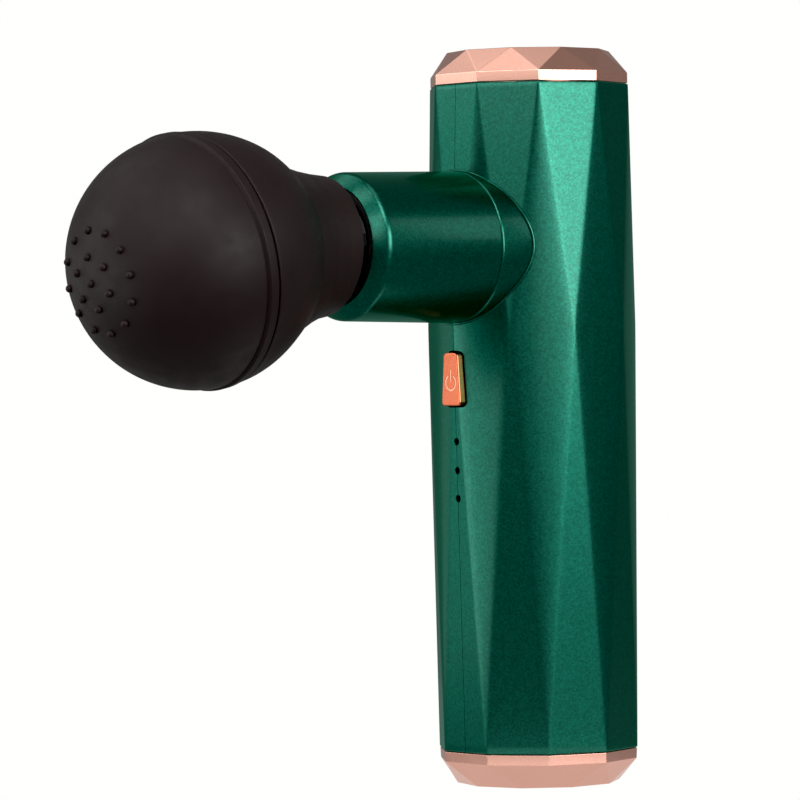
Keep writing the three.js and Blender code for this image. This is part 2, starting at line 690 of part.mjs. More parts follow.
function rotor(model) {
  const bell = [
    [SHAFT_R + GAP, MOTOR_TUBE_TOP + 0.4],
    [4.2, MOTOR_TUBE_TOP + 0.4],
    [4.2, BELL_TOP - 1.2],
    [BELL_R - 1, BELL_TOP - 1.2],
    [BELL_R - 1, BELL_BOTTOM],
    [BELL_R, BELL_BOTTOM],
    [BELL_R, BELL_TOP - 0.6],
    [BELL_R - 0.6, BELL_TOP],
    [SHAFT_R + GAP, BELL_TOP],
    [SHAFT_R + GAP, MOTOR_TUBE_TOP + 0.4],
  ];
  model.add(part("rotor_bell", solid(turned(bell)), steel));
  model.add(part("rotor_magnet_ring", solid(ring(12.5, 13.9, BELL_BOTTOM + 0.4, STATOR_TOP + 1)), magnet));
  model.add(part("motor_shaft", solid(disc(SHAFT_R, 123.4, BELL_TOP + 1.6, SMALL_ROUND)), steel));

  const web = solid(disc(8.5, 120.9, 124.8, MIDDLE_ROUND));
  const weight = solid(disc(12, 120.9, 124.8, MIDDLE_ROUND)).intersect(
    solid(box(-13, -2, -9, 9, 120, 126)),
  );
  const bores = [
    solid(disc(SHAFT_R + GAP, 123.1, 126, SMALL_ROUND)),
    solid(disc(2.1, 120, 122.6, SMALL_ROUND).translate(STROKE, 0, 0)),
  ];
  model.add(part("crank_disc", cut(web.add(weight), bores), steel));

  const pin = [
    [0, 113.6],
    [2.6, 113.6],
    [2.6, 114.6],
    [1.8, 114.6],
    [1.8, 122.3],
    [0, 122.3],
  ];
  const crankPin = part("crank_pin", solid(turned(pin, SMALL_ROUND)), steel);
  crankPin.position.x = STROKE;
  model.add(crankPin);

  const roller = solid(ring(2.1, ROLLER_R, 115.2, 120.2, SMALL_ROUND));
  const crankRoller = part("crank_roller", roller, bronze);
  crankRoller.position.x = STROKE;
  model.add(crankRoller);
}

const SOCKET_START = 38.5;
const SOCKET_FRONT = 56.0;

function pushRod(forwards) {
  const low = YOKE_BOTTOM - BARREL_Z;
  const high = YOKE_TOP - BARREL_Z;
  const slotHalf = ROLLER_R + SLOT_CLEARANCE;
  const slotReach = ROLLER_R + STROKE + 0.7;
  const yoke = solid(box(-11, 11, low, high, -8.5, 8.5)).subtract(
    solid(box(-slotReach, slotReach, low - PAST, high + PAST, -slotHalf, slotHalf)),
  );
  const neck = solid(box(-5, 5, low, high, 8, 18));
  const rod = solid(
    turned([
      [0, 16.8],
      [ROD_R, 16.8],
      [ROD_R, SOCKET_START - 2],
      [SOCKET_R, SOCKET_START + 1],
      [SOCKET_R, SOCKET_FRONT - 0.6],
      [SOCKET_R - 0.6, SOCKET_FRONT],
      [0, SOCKET_FRONT],
    ], MIDDLE_ROUND),
  );
  const socket = solid(
    turned([
      [0, 41.5],
      [PLUG_R + GAP, 41.5],
      [PLUG_R + GAP, SOCKET_FRONT - 0.8],
      [PLUG_R + GAP + 0.9, SOCKET_FRONT + 0.1],
      [0, SOCKET_FRONT + 0.1],
    ], MIDDLE_ROUND),
  );
  forwards.add(part("push_rod", cut(join([yoke, neck, rod]), [socket]), darkAlloy));
}

// ---- Head ----
// The soft head's axis bends down smoothly from its rear rim to the middle of the ball.
function droop(geometry) {
  const length = BALL_CENTRE - HEAD_REAR;
  const places = geometry.getAttribute("position");
  for (let i = 0; i < places.count; i++) {
    const up = places.getY(i);
    const along = places.getZ(i);
    const share = THREE.MathUtils.clamp((along - HEAD_REAR) / length, 0, 1);
    const past = Math.max(along - BALL_CENTRE, 0);
    const angle = HEAD_DROOP * share;
    const bent = (HEAD_DROOP * length * share * share) / 2;
    const drop = bent + past * Math.sin(angle);
    const reach = along - past * (1 - Math.cos(angle));
    places.setY(i, -drop + up * Math.cos(angle));
    places.setZ(i, reach + up * Math.sin(angle));
  }
  return geometry;
}

// Points of a circle about the ball's centre, from one angle to another. 0 is straight ahead.
function ballArc(r, from, to, count) {
  const points = [];
  for (let i = 0; i <= count; i++) {
    const angle = THREE.MathUtils.degToRad(from + ((to - from) * i) / count);
    points.push([r * Math.sin(angle), BALL_CENTRE + r * Math.cos(angle)]);
  }
  return points;
}

const LIP_R = BALL_R + 0.3;
const SEAM_BACK = 0.65; // the seam lies behind the ball's middle by this much
const LIP_END = 2.25; // and the dome's lip ends in front of it
const SKIN_INNER_R = CORE_R + 0.5;
const NECK_BORE_R = 11.5;
const NUB_R = 0.85;
const NUB_RINGS = [[1, 0], [6, 11.7], [12, 23.6]]; // how many, and degrees from straight ahead
const NUB_TURN = THREE.MathUtils.degToRad(6.4);

function head(forwards) {
  const plug = [
    [0, 42.2],
    [PLUG_R - 0.8, 42.2],
    [PLUG_R, 43.0],
    [PLUG_R, 48.9],
    [6.2, 48.9],
    [6.2, 50.5],
    [PLUG_R, 50.5],
    [PLUG_R, 59.6],
    [7.9, 60.2],
    [7.9, 64.3],
    [NECK_BORE_R - GAP, 64.3],
    [NECK_BORE_R - GAP, 67.0],
    [0, 67.0],
  ];
  forwards.add(part("head_plug", solid(droop(turned(plug, MIDDLE_ROUND))), blackPlastic));

  const oRing = new THREE.TorusGeometry(6.97, 0.5, 6, MIDDLE_ROUND).translate(0, 0, 49.7);
  forwards.add(part("plug_o_ring", solid(oRing), blackRubber));

  const coreNeck = NECK_BORE_R - GAP;
  const coreAngle = 180 - THREE.MathUtils.radToDeg(Math.asin(coreNeck / CORE_R));
  const core = [
    [0, 67.3],
    [coreNeck, 67.3],
    ...ballArc(CORE_R, coreAngle, 0, 9),
  ];
  forwards.add(part("head_core", solid(droop(turned(core, MIDDLE_ROUND))), foam));

  const rimOuter = 15.0;
  const neckEnd = 180 - THREE.MathUtils.radToDeg(Math.asin(18.7 / BALL_R));
  const seamAngle = 90 + THREE.MathUtils.radToDeg((SEAM_BACK + GAP / 2) / BALL_R);
  const lipAngle = 90 - THREE.MathUtils.radToDeg(LIP_END / BALL_R);
  const skinBore = 180 - THREE.MathUtils.radToDeg(Math.asin(NECK_BORE_R / SKIN_INNER_R));
  const rearFace = BALL_CENTRE - SEAM_BACK - GAP / 2;
  const rear = [
    [8.2, HEAD_REAR],
    [rimOuter - 0.6, HEAD_REAR],
    [rimOuter, HEAD_REAR + 0.6],
    [rimOuter + 0.45, 64.0],
    [rimOuter + 1.4, 68.0],
    [rimOuter + 2.6, 71.5],
    ...ballArc(BALL_R, neckEnd, seamAngle, 7),
    [SKIN_INNER_R, rearFace],
    ...ballArc(SKIN_INNER_R, 94, skinBore, 5),
    [NECK_BORE_R, 64.0],
    [8.2, 64.0],
    [8.2, HEAD_REAR],
  ];
  forwards.add(part("head_rear_bell", solid(droop(turned(rear))), headRubber));

  const frontFace = BALL_CENTRE - SEAM_BACK + GAP / 2;
  const dome = [
    [SKIN_INNER_R, frontFace],
    [LIP_R, frontFace],
    [LIP_R, BALL_CENTRE + LIP_END],
    ...ballArc(BALL_R, lipAngle - 0.6, 0, 10),
    ...ballArc(SKIN_INNER_R, 0, 89, 7),
    [SKIN_INNER_R, frontFace],
  ];
  const nubs = NUB_RINGS.flatMap(([count, tilt]) =>
    Array.from({ length: count }, (_, i) => {
      const nub = new THREE.IcosahedronGeometry(NUB_R, 0).translate(0, 0, BALL_R + 0.05);
      nub.rotateX(-THREE.MathUtils.degToRad(tilt)).rotateZ(NUB_TURN - (i * 2 * Math.PI) / count);
      return solid(droop(nub.translate(0, 0, BALL_CENTRE)));
    }),
  );
  const front = join([solid(droop(turned(dome))), ...nubs]);
  forwards.add(part("head_front_dome", front, headRubber));
}

// ---- Assembly ----
const model = new THREE.Group();
const front = new THREE.Group(); // drawn along +Z, faces forwards, its Y is the height
front.rotation.x = Math.PI / 2;
const forwards = new THREE.Group(); // the same, centred on the barrel
forwards.position.y = BARREL_Z;
front.add(forwards);
model.add(front);

handleShells(model);
caps(model);
chargePort(model);
battery(model);
mainBoard(model, front);
leads(model);
powerButton(front);
indicators(front);
chassis(model);
motor(model);
rotor(model);
barrel(forwards);
bushing(forwards);
pushRod(forwards);
head(forwards);

export default model;
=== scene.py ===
import json
import math

import bmesh
import bpy
import numpy as np
from mathutils import Matrix, Vector

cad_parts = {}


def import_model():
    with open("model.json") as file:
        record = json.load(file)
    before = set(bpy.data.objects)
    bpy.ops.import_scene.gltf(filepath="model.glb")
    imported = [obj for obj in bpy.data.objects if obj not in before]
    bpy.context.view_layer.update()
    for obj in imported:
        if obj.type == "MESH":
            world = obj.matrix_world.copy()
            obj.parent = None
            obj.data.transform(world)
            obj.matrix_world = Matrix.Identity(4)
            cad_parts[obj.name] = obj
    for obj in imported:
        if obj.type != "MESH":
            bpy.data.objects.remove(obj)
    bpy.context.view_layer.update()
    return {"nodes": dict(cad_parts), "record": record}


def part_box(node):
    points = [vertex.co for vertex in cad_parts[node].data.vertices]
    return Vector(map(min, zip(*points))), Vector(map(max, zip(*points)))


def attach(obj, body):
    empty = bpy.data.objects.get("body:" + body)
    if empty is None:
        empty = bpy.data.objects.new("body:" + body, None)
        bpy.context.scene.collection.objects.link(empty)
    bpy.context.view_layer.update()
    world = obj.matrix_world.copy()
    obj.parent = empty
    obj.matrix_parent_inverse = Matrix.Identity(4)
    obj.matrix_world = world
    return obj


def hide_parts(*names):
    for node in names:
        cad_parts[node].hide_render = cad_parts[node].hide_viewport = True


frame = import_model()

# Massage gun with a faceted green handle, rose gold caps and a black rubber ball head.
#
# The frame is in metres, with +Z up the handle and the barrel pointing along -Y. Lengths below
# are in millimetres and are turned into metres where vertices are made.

MM = 0.001
AXES = {"x": 0, "y": 1, "z": 2}


def lowest(node, axis):
    """A CAD node's lowest coordinate at rest, in millimetres."""
    return round(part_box(node)[0][AXES[axis]] / MM, 2)


def highest(node, axis):
    return round(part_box(node)[1][AXES[axis]] / MM, 2)


def middle(node, axis):
    return round((lowest(node, axis) + highest(node, axis)) / 2, 2)


# ---- Sizes of the object, in millimetres ----
# Distances along the barrel are measured forwards, along -Y, from the handle's axis.
HEIGHT = highest("top_cap", "z")
SIDES = 10
STEP_DEG = 360 / SIDES
CAP_HEIGHT = 7.45
CROWN_HEIGHT = 5.2
CAP_FLAT_R = 17.9
CAP_RING_R = highest("top_cap", "x")
CAP_TAPER = 0.11  # how much the bottom cap's band narrows towards its crown
CAP_SEAM = 0.18  # the gap between a cap and the casing
END_RING_R = highest("handle_shell_right", "x")
MID_RING_R = 23.0
MID_RING_Z = 100.2
BORE_R = 19.2
BODY_BOTTOM = CAP_HEIGHT + CAP_SEAM
BODY_TOP = HEIGHT - CAP_HEIGHT - CAP_SEAM

BARREL_Z = middle("barrel_sleeve", "z")
COLLAR_R = highest("barrel_collar", "x")
COLLAR_BORE_R = 14.9
COLLAR_BACK = -highest("barrel_collar", "y")
COLLAR_FRONT = -lowest("barrel_collar", "y")
COLLAR_TAPER_START = 14.0
COLLAR_TAPER = 0.42
SLEEVE_START = COLLAR_FRONT + 0.05
SLEEVE_BACK = -highest("barrel_sleeve", "y")
SLEEVE_NECK_R = 14.6
SLEEVE_R = highest("barrel_sleeve", "x")
SLEEVE_FRONT_R = 15.9
SLEEVE_BORE_R = 12.7
CHAMFER_START = 53.9
BARREL_FRONT = -lowest("barrel_sleeve", "y")
SEAL_BORE_R = 10.7
SEAL_R = highest("barrel_front_seal", "x")
SEAL_BACK = -highest("barrel_front_seal", "y")
SEAL_FRONT = -lowest("barrel_front_seal", "y")

HEAD_REAR = -highest("head_rear_bell", "y")
BALL_CENTRE = 93.45
BALL_R = 26.9
CORE_R = 20.1
NECK_BORE_R = 11.5
HEAD_DROOP = math.radians(10.5)

BUTTON_Z = middle("power_button", "z")
BUTTON_HEIGHT = 11.6
BUTTON_TOP_WIDTH = 4.5
BUTTON_BOTTOM_WIDTH = 6.1
BUTTON_BACK = 18.4
BUTTON_FRONT = 24.0
INDICATOR_Z = [middle(f"indicator_lens_{i}", "z") for i in (1, 2, 3)]
INDICATOR_HOLE_R = 0.75


# ---- Mesh tools ----
def make_object(name, vertices, faces):
    """A mesh object from vertices in millimetres, with duplicate vertices merged."""
    mesh = bpy.data.meshes.new(name)
    mesh.from_pydata([tuple(c * MM for c in v) for v in vertices], [], faces)
    bm = bmesh.new()
    bm.from_mesh(mesh)
    bmesh.ops.remove_doubles(bm, verts=bm.verts, dist=2e-7)
    bmesh.ops.dissolve_degenerate(bm, edges=bm.edges, dist=1e-8)
    bmesh.ops.recalc_face_normals(bm, faces=bm.faces)
    bm.to_mesh(mesh)
    bm.free()
    obj = bpy.data.objects.new(name, mesh)
    bpy.context.scene.collection.objects.link(obj)
    return obj


def smooth(obj, sharp_angle=32):
    """Smooth shading that keeps edges steeper than sharp_angle degrees crisp."""
    obj.data.shade_smooth()
    obj.data.set_sharp_from_angle(angle=math.radians(sharp_angle))
    return obj


def applied(obj):
    """Applies the object's modifiers to its mesh."""
    graph = bpy.context.evaluated_depsgraph_get()
    mesh = bpy.data.meshes.new_from_object(obj.evaluated_get(graph))
    obj.modifiers.clear()
    old = obj.data
    obj.data = mesh
    bpy.data.meshes.remove(old)
    return obj


def combine(obj, other, operation="DIFFERENCE"):
    """Cuts other from obj, or joins it on, and removes other."""
    modifier = obj.modifiers.new("combine", "BOOLEAN")
    modifier.operation = operation
    modifier.solver = "MANIFOLD"
    modifier.object = other
    applied(obj)
    bpy.data.objects.remove(other)
    return obj


def rounded(corners, steps=5):
    """A polyline from corners (x, y, fillet radius), with each fillet drawn as an arc."""
    points = []
    count = len(corners)
    for i, (x, y, radius) in enumerate(corners):
        here = Vector((x, y))
        is_end = i in (0, count - 1)
        if radius == 0 or is_end:
            points.append((x, y))
            continue
        before = Vector(corners[i - 1][:2]) - here
        after = Vector(corners[i + 1][:2]) - here
        half = before.angle(after) / 2
        reach = min(radius / math.tan(half), before.length * 0.49, after.length * 0.49)
        radius = reach * math.tan(half)
        start = here + before.normalized() * reach
        end = here + after.normalized() * reach
        centre = here + (before.normalized() + after.normalized()).normalized() * (
            radius / math.sin(half)
        )
        first, last = start - centre, end - centre
        turn = math.atan2(first.x * last.y - first.y * last.x, first.dot(last))
        for k in range(steps + 1):
            angle = turn * k / steps
            c, s = math.cos(angle), math.sin(angle)
            points.append((centre.x + first.x * c - first.y * s,
                           centre.y + first.x * s + first.y * c))
    return points


def arc(centre, radius, from_deg, to_deg, steps):
    """Points (r, s) on a circle centred on the axis at s = centre. 0 degrees is straight ahead."""
    points = []
    for k in range(steps + 1):
        angle = math.radians(from_deg + (to_deg - from_deg) * k / steps)
        points.append((radius * math.sin(angle), centre + radius * math.cos(angle)))
    return points


def forwards(x, up, along, height=BARREL_Z):
    """A point given as (x, up, distance in front of the handle's axis), in the object's frame."""
    return (x, -along, height + up)


def upright(x, y, z):
    """A point of a piece that stands on the handle's own axis."""
    return (x, y, z)


def lathe(name, profile, sides=128, place=upright):
    """Turns a profile of (radius, along) points about its axis, as a closed solid."""
    on_axis = [abs(r) < 1e-6 for r, _ in profile]
    vertices, rows = [], []
    for (r, along), lies_on_axis in zip(profile, on_axis):
        count = 1 if lies_on_axis else sides
        row = []
        for i in range(count):
            angle = 2 * math.pi * i / sides
            row.append(len(vertices))
            vertices.append(place(r * math.sin(angle), r * math.cos(angle), along))
        rows.append(row * sides if lies_on_axis else row)
    faces = []
    spans = len(rows) - 1 if on_axis[0] and on_axis[-1] else len(rows)
    for j in range(spans):
        low, high = rows[j], rows[(j + 1) % len(rows)]
        for i in range(sides):
            n = (i + 1) % sides
            corners = [low[i], low[n], high[n], high[i]]
            unique = list(dict.fromkeys(corners))
            if len(unique) > 2:
                faces.append(unique)
    return make_object(name, vertices, faces)


def box(name, x0, x1, y0, y1, z0, z1):
    """A plain block, given its lowest and highest x, y and z."""
    vertices = [(x, y, z) for z in (z0, z1) for y in (y0, y1) for x in (x0, x1)]
    faces = [(0, 1, 3, 2), (4, 6, 7, 5), (0, 4, 5, 1), (2, 3, 7, 6), (0, 2, 6, 4), (1, 5, 7, 3)]
    return make_object(name, vertices, faces)


def prism(name, outline, depths, place):
    """Lofts copies of an outline. depths is a list of (along, outline for that depth)."""
    vertices, faces = [], []
    count = len(outline)
    for along, ring in depths:
        vertices += [place(x, up, along) for x, up in ring]
    for j in range(len(depths) - 1):
        for i in range(count):
            n = (i + 1) % count
            low, high = j * count, (j + 1) * count
            faces.append((low + i, low + n, high + n, high + i))
    faces.append(tuple(reversed(range(count))))
    faces.append(tuple(range((len(depths) - 1) * count, len(depths) * count)))
    return make_object(name, vertices, faces)


def soften(obj, width, segments=3, angle=20):
    """Rounds every edge steeper than angle degrees by width millimetres."""
    modifier = obj.modifiers.new("soften", "BEVEL")
    modifier.width = width * MM
    modifier.segments = segments
    modifier.limit_method = "ANGLE"
    modifier.angle_limit = math.radians(angle)
    return applied(obj)


def keep_flat(obj):
    """Face normals win over the small rounded strips, so flat faces stay flat to the edge."""
    modifier = obj.modifiers.new("flat", "WEIGHTED_NORMAL")
    modifier.mode = "FACE_AREA"
    modifier.weight = 80
    modifier.keep_sharp = True
    return applied(obj)


def put(obj, body, material, slot, *nodes):
    """Gives a finished piece its body and material, and hides the CAD nodes that it stands for.
    slot is not used.
    """
    obj.data.materials.clear()
    obj.data.materials.append(material)
    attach(obj, body)
    if nodes:
        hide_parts(*nodes)
    return obj


# ---- Material tools ----
class Shader:
    """A node material with a Principled shader and short calls for the usual nodes."""

    def __init__(self, name, **values):
        self.material = bpy.data.materials.new(name)
        self.material.use_nodes = True
        self.tree = self.material.node_tree
        self.shader = self.tree.nodes["Principled BSDF"]
        for socket, value in values.items():
            self.set(socket.replace("_", " "), value)
        self.places = self.tree.nodes.new("ShaderNodeTexCoord").outputs["Object"]

    def set(self, socket, value):
        self.shader.inputs[socket].default_value = value

    def link(self, source, socket):
        self.tree.links.new(source, self.shader.inputs[socket])

    def stretched(self, x, y, z):
        node = self.tree.nodes.new("ShaderNodeMapping")
        node.inputs["Scale"].default_value = (x, y, z)
        self.tree.links.new(self.places, node.inputs["Vector"])
        return node.outputs["Vector"]

    def noise(self, scale, detail=2.0, roughness=0.5, places=None):
        node = self.tree.nodes.new("ShaderNodeTexNoise")
        node.inputs["Scale"].default_value = scale
        node.inputs["Detail"].default_value = detail
        node.inputs["Roughness"].default_value = roughness
        self.tree.links.new(places or self.places, node.inputs["Vector"])
        return node.outputs["Fac"]

    def cells(self, scale):
        node = self.tree.nodes.new("ShaderNodeTexVoronoi")
        node.inputs["Scale"].default_value = scale
        self.tree.links.new(self.places, node.inputs["Vector"])
        return node.outputs["Color"]

    def spread(self, value, low, high, from_low=0.3, from_high=0.7):
        node = self.tree.nodes.new("ShaderNodeMapRange")
        node.inputs["From Min"].default_value = from_low
        node.inputs["From Max"].default_value = from_high
        node.inputs["To Min"].default_value = low
        node.inputs["To Max"].default_value = high
        self.tree.links.new(value, node.inputs["Value"])
        return node.outputs["Result"]

    def mixed(self, factor, one, other):
        node = self.tree.nodes.new("ShaderNodeMix")
        node.data_type = "RGBA"
        sockets = {s.identifier: s for s in node.inputs}
        self.tree.links.new(factor, sockets["Factor_Float"])
        sockets["A_Color"].default_value = (*one, 1)
        sockets["B_Color"].default_value = (*other, 1)
        return next(s for s in node.outputs if s.identifier == "Result_Color")

    def bump(self, height, strength, distance, under=None):
        node = self.tree.nodes.new("ShaderNodeBump")
        node.inputs["Strength"].default_value = strength
        node.inputs["Distance"].default_value = distance
        self.tree.links.new(height, node.inputs["Height"])
        if under is not None:
            self.tree.links.new(under, node.inputs["Normal"])
        self.link(node.outputs["Normal"], "Normal")
        return node.outputs["Normal"]


def green_paint():
    """Satin metallic paint: deep green with scattered flakes under a thin lacquer."""
    s = Shader("green_paint", Metallic=1.0, Coat_Weight=0.28, Coat_Roughness=0.16)
    s.set("Specular Tint", (0.10, 0.85, 0.62, 1))
    s.set("Coat IOR", 1.42)
    flakes = s.spread(s.cells(2900), 0.0, 1.0, 0.0, 1.0)
    s.link(s.mixed(flakes, (0.0050, 0.067, 0.0432), (0.0085, 0.124, 0.0835)), "Base Color")
    s.link(s.spread(s.noise(900, 2), 0.29, 0.34), "Roughness")
    s.bump(s.noise(3600, 1), 0.16, 0.00004)
    return s.material


def rose_gold():
    """Satin anodised rose gold, smooth, with slightly uneven colour and gloss."""
    s = Shader("rose_gold", Metallic=1.0, Coat_Weight=0.0)
    cloud = s.spread(s.noise(60, 3), 0.0, 1.0)
    s.link(s.mixed(cloud, (0.78, 0.42, 0.325), (0.81, 0.44, 0.345)), "Base Color")
    s.link(s.spread(s.noise(180, 1), 0.264, 0.280), "Roughness")
    return s.material


def copper():
    """Smooth copper-rose plating."""
    s = Shader("copper_button", Metallic=1.0, Coat_Weight=0.25, Coat_Roughness=0.12)
    cloud = s.spread(s.noise(240, 3), 0.0, 1.0)
    s.link(s.mixed(cloud, (0.72, 0.175, 0.080), (0.76, 0.200, 0.095)), "Base Color")
    s.link(s.spread(s.noise(1500, 2), 0.20, 0.27), "Roughness")
    s.bump(s.noise(6000, 1), 0.05, 0.00002)
    return s.material


def head_rubber():
    """Matte silicone, brown-black, with a dusty bloom and a very fine tooth."""
    s = Shader("head_rubber", Specular_IOR_Level=0.2)
    bloom = s.spread(s.noise(46, 4, 0.6), 0.0, 1.0)
    s.link(s.mixed(bloom, (0.0088, 0.0042, 0.0042), (0.0120, 0.0064, 0.0061)), "Base Color")
    s.link(s.spread(s.noise(320, 3), 0.46, 0.58), "Roughness")
    grain = s.bump(s.noise(2600, 2), 0.22, 0.00005)
    s.bump(s.noise(150, 2), 0.10, 0.0002, grain)
    return s.material


def plain(name, low, high, roughness=(0.45, 0.55), metallic=0.0, scale=300, grain=2500,
          depth=0.00003, strength=0.15, **values):
    """A finish with two close colours, uneven gloss and a fine grain."""
    s = Shader(name, Metallic=metallic, **values)
    cloud = s.spread(s.noise(scale, 3), 0.0, 1.0)
    s.link(s.mixed(cloud, low, high), "Base Color")
    s.link(s.spread(s.noise(scale * 4, 2), *roughness), "Roughness")
    s.bump(s.noise(grain, 2), strength, depth)
    return s.material


def turned_metal(name, low, high, roughness=(0.22, 0.34), squash=(1, 1, 26)):
    """Machined metal with fine tool marks across one axis."""
    s = Shader(name, Metallic=1.0)
    marks = s.noise(420, 3, places=s.stretched(*squash))
    s.link(s.mixed(s.spread(marks, 0.0, 1.0), low, high), "Base Color")
    s.link(s.spread(marks, *roughness), "Roughness")
    s.bump(marks, 0.12, 0.00002)
    return s.material


PAINT = green_paint()
ROSE = rose_gold()
COPPER = copper()
RUBBER = head_rubber()
# Pale gold for the power sign's filling: a painted highlight standing in for light caught by the
# groove's edges.
SIGN_HIGHLIGHT_PAINT = plain("sign_highlight_paint", (0.87, 0.40, 0.26), (0.90, 0.45, 0.30), (0.34, 0.42), 1.0)
BLACK_RUBBER = plain("black_rubber", (0.006, 0.006, 0.006), (0.012, 0.011, 0.011), (0.6, 0.75))
DARK_LENS = plain("dark_lens", (0.004, 0.005, 0.005), (0.008, 0.009, 0.009), (0.2, 0.3))
STEEL = turned_metal("steel", (0.50, 0.51, 0.52), (0.62, 0.63, 0.64))
CAST_ALLOY = plain("cast_alloy", (0.34, 0.35, 0.36), (0.46, 0.47, 0.48), (0.42, 0.6), 1.0,
                   scale=180, grain=900, depth=0.0001, strength=0.3)
ROD_ALLOY = turned_metal("rod_alloy", (0.016, 0.016, 0.017), (0.034, 0.034, 0.036), (0.36, 0.48),
                         (1, 26, 1))
BRONZE = turned_metal("bronze", (0.40, 0.24, 0.08), (0.52, 0.33, 0.13), (0.32, 0.46))
MAGNET = plain("magnet", (0.07, 0.075, 0.08), (0.12, 0.125, 0.13), (0.4, 0.6), 0.7)
ENAMEL = plain("enamel_wire", (0.42, 0.10, 0.02), (0.58, 0.17, 0.04), (0.25, 0.4), 0.8,
               scale=900, Coat_Weight=0.4)
WHITE_PLASTIC = plain("white_plastic", (0.68, 0.66, 0.60), (0.78, 0.76, 0.71), (0.45, 0.6))
BLACK_PLASTIC = plain("black_plastic", (0.014, 0.015, 0.016), (0.026, 0.027, 0.029), (0.42, 0.6),
                      grain=1400, strength=0.25)
BOARD = plain("circuit_board", (0.012, 0.085, 0.028), (0.022, 0.13, 0.045), (0.25, 0.4),
              scale=420, Coat_Weight=0.3)
CELL_WRAP = plain("cell_wrap", (0.035, 0.16, 0.38), (0.055, 0.21, 0.46), (0.28, 0.4), scale=120,
                  grain=400, Coat_Weight=0.3)
NICKEL = turned_metal("nickel", (0.55, 0.52, 0.44), (0.66, 0.63, 0.55), (0.28, 0.4), (26, 1, 1))
RED_WIRE = plain("red_wire", (0.36, 0.012, 0.012), (0.5, 0.025, 0.02), (0.4, 0.55))
BLACK_WIRE = plain("black_wire", (0.010, 0.010, 0.010), (0.020, 0.020, 0.020), (0.4, 0.55))
FOAM = plain("foam", (0.06, 0.06, 0.065), (0.12, 0.12, 0.125), (0.8, 0.95), scale=900, grain=1600,
             depth=0.0003, strength=0.7)

LOOKS = {
    "green_paint": PAINT,
    "rose_gold": ROSE,
    "copper_button": COPPER,
    "head_rubber": RUBBER,
    "black_rubber": BLACK_RUBBER,
    "dark_lens": DARK_LENS,
    "steel": STEEL,
    "cast_alloy": CAST_ALLOY,
    "rod_alloy": ROD_ALLOY,
    "bronze": BRONZE,
    "magnet": MAGNET,
    "enamel_wire": ENAMEL,
    "white_plastic": WHITE_PLASTIC,
    "black_plastic": BLACK_PLASTIC,
    "circuit_board": BOARD,
    "cell_wrap": CELL_WRAP,
    "nickel": NICKEL,
    "red_wire": RED_WIRE,
    "black_wire": BLACK_WIRE,
    "foam": FOAM,
}


def dress_cad_nodes():
    """Every CAD node that stays gets the finish of its material slot."""
    for part in frame["record"]["subparts"]:
        node = frame["nodes"][part["node"]]
        node.data.materials.clear()
        node.data.materials.append(LOOKS[part["material_slot"]])


# ---- Handle casing ----
CREASE_SOFTNESS = 0.30  # standard deviation, in millimetres, of the rounding across a crease
CREASE_STEPS = (0.0, 0.16, 0.36, 0.62, 1.0, 1.7)  # distances from a crease to the columns by it
CREASE_SHARES = (0.0, 0.10, 0.24, 0.42, 0.60, 0.80)  # the most of a narrow facet each may take
SEAM_HALF = 0.06  # half the width of the parting line between the two shells
PAST = 60  # how far a cutter reaches, past everything


def around(radius, degrees):
    """A point on a level circle. Degrees run from the front, -Y, towards +X."""
    angle = math.radians(degrees)
    return np.array([radius * math.sin(angle), -radius * math.cos(angle)])


def arc_through(a, b, c, shares):
    """Points on the circular arc from a through b to c, at shares of its length."""
    ax, ay, bx, by, cx, cy = *a, *b, *c
    d = 2 * (ax * (by - cy) + bx * (cy - ay) + cx * (ay - by))
    if abs(d) < 1e-6:
        return [a + (c - a) * t for t in shares]
    aa, bb, cc = ax**2 + ay**2, bx**2 + by**2, cx**2 + cy**2
    centre_x = (aa * (by - cy) + bb * (cy - ay) + cc * (ay - by)) / d
    centre_y = (aa * (cx - bx) + bb * (ax - cx) + cc * (bx - ax)) / d
    centre = np.array([centre_x, centre_y])
    start, end = a - centre, c - centre
    turn = math.atan2(start[0] * end[1] - start[1] * end[0], start @ end)
    points = []
    for t in shares:
        ca, sa = math.cos(turn * t), math.sin(turn * t)
        points.append(centre + np.array([start[0] * ca - start[1] * sa,
                                         start[0] * sa + start[1] * ca]))
    return points


def facet_shares(width):
    """Where the columns of one facet lie across it, close together beside its two creases."""
    near = [min(step, share * width / 2) for step, share in zip(CREASE_STEPS, CREASE_SHARES)]
    if width < 1e-9:
        width = 1.0
    left = [d / width for d in near]
    return left + [0.5] + [1 - d for d in reversed(left)]


def section(z):
    """The casing's outline at height z as columns of points, starting at the front's middle.

    The outline has ten flat facets, which narrow to a point at the middle ring, and ten
    bulging ones between them, which narrow to a point at both ends."""
    end_z = BODY_TOP if z > MID_RING_Z else BODY_BOTTOM
    share = (z - end_z) / (MID_RING_Z - end_z)
    corner = [around(END_RING_R, (i + 0.5) * STEP_DEG) for i in range(SIDES)]
    middle = [around(MID_RING_R, i * STEP_DEG) for i in range(SIDES)]
    columns = []
    for i in range(SIDES):
        flat_start = corner[i - 1] + (middle[i] - corner[i - 1]) * share
        flat_end = corner[i] + (middle[i] - corner[i]) * share
        bulge_end = corner[i] + (middle[(i + 1) % SIDES] - corner[i]) * share
        flat_width = np.linalg.norm(flat_end - flat_start)
        bulge_width = np.linalg.norm(bulge_end - flat_end)
        columns += [flat_start + (flat_end - flat_start) * t for t in facet_shares(flat_width)]
        columns += arc_through(flat_end, corner[i], bulge_end, facet_shares(bulge_width))
    return np.array(columns)


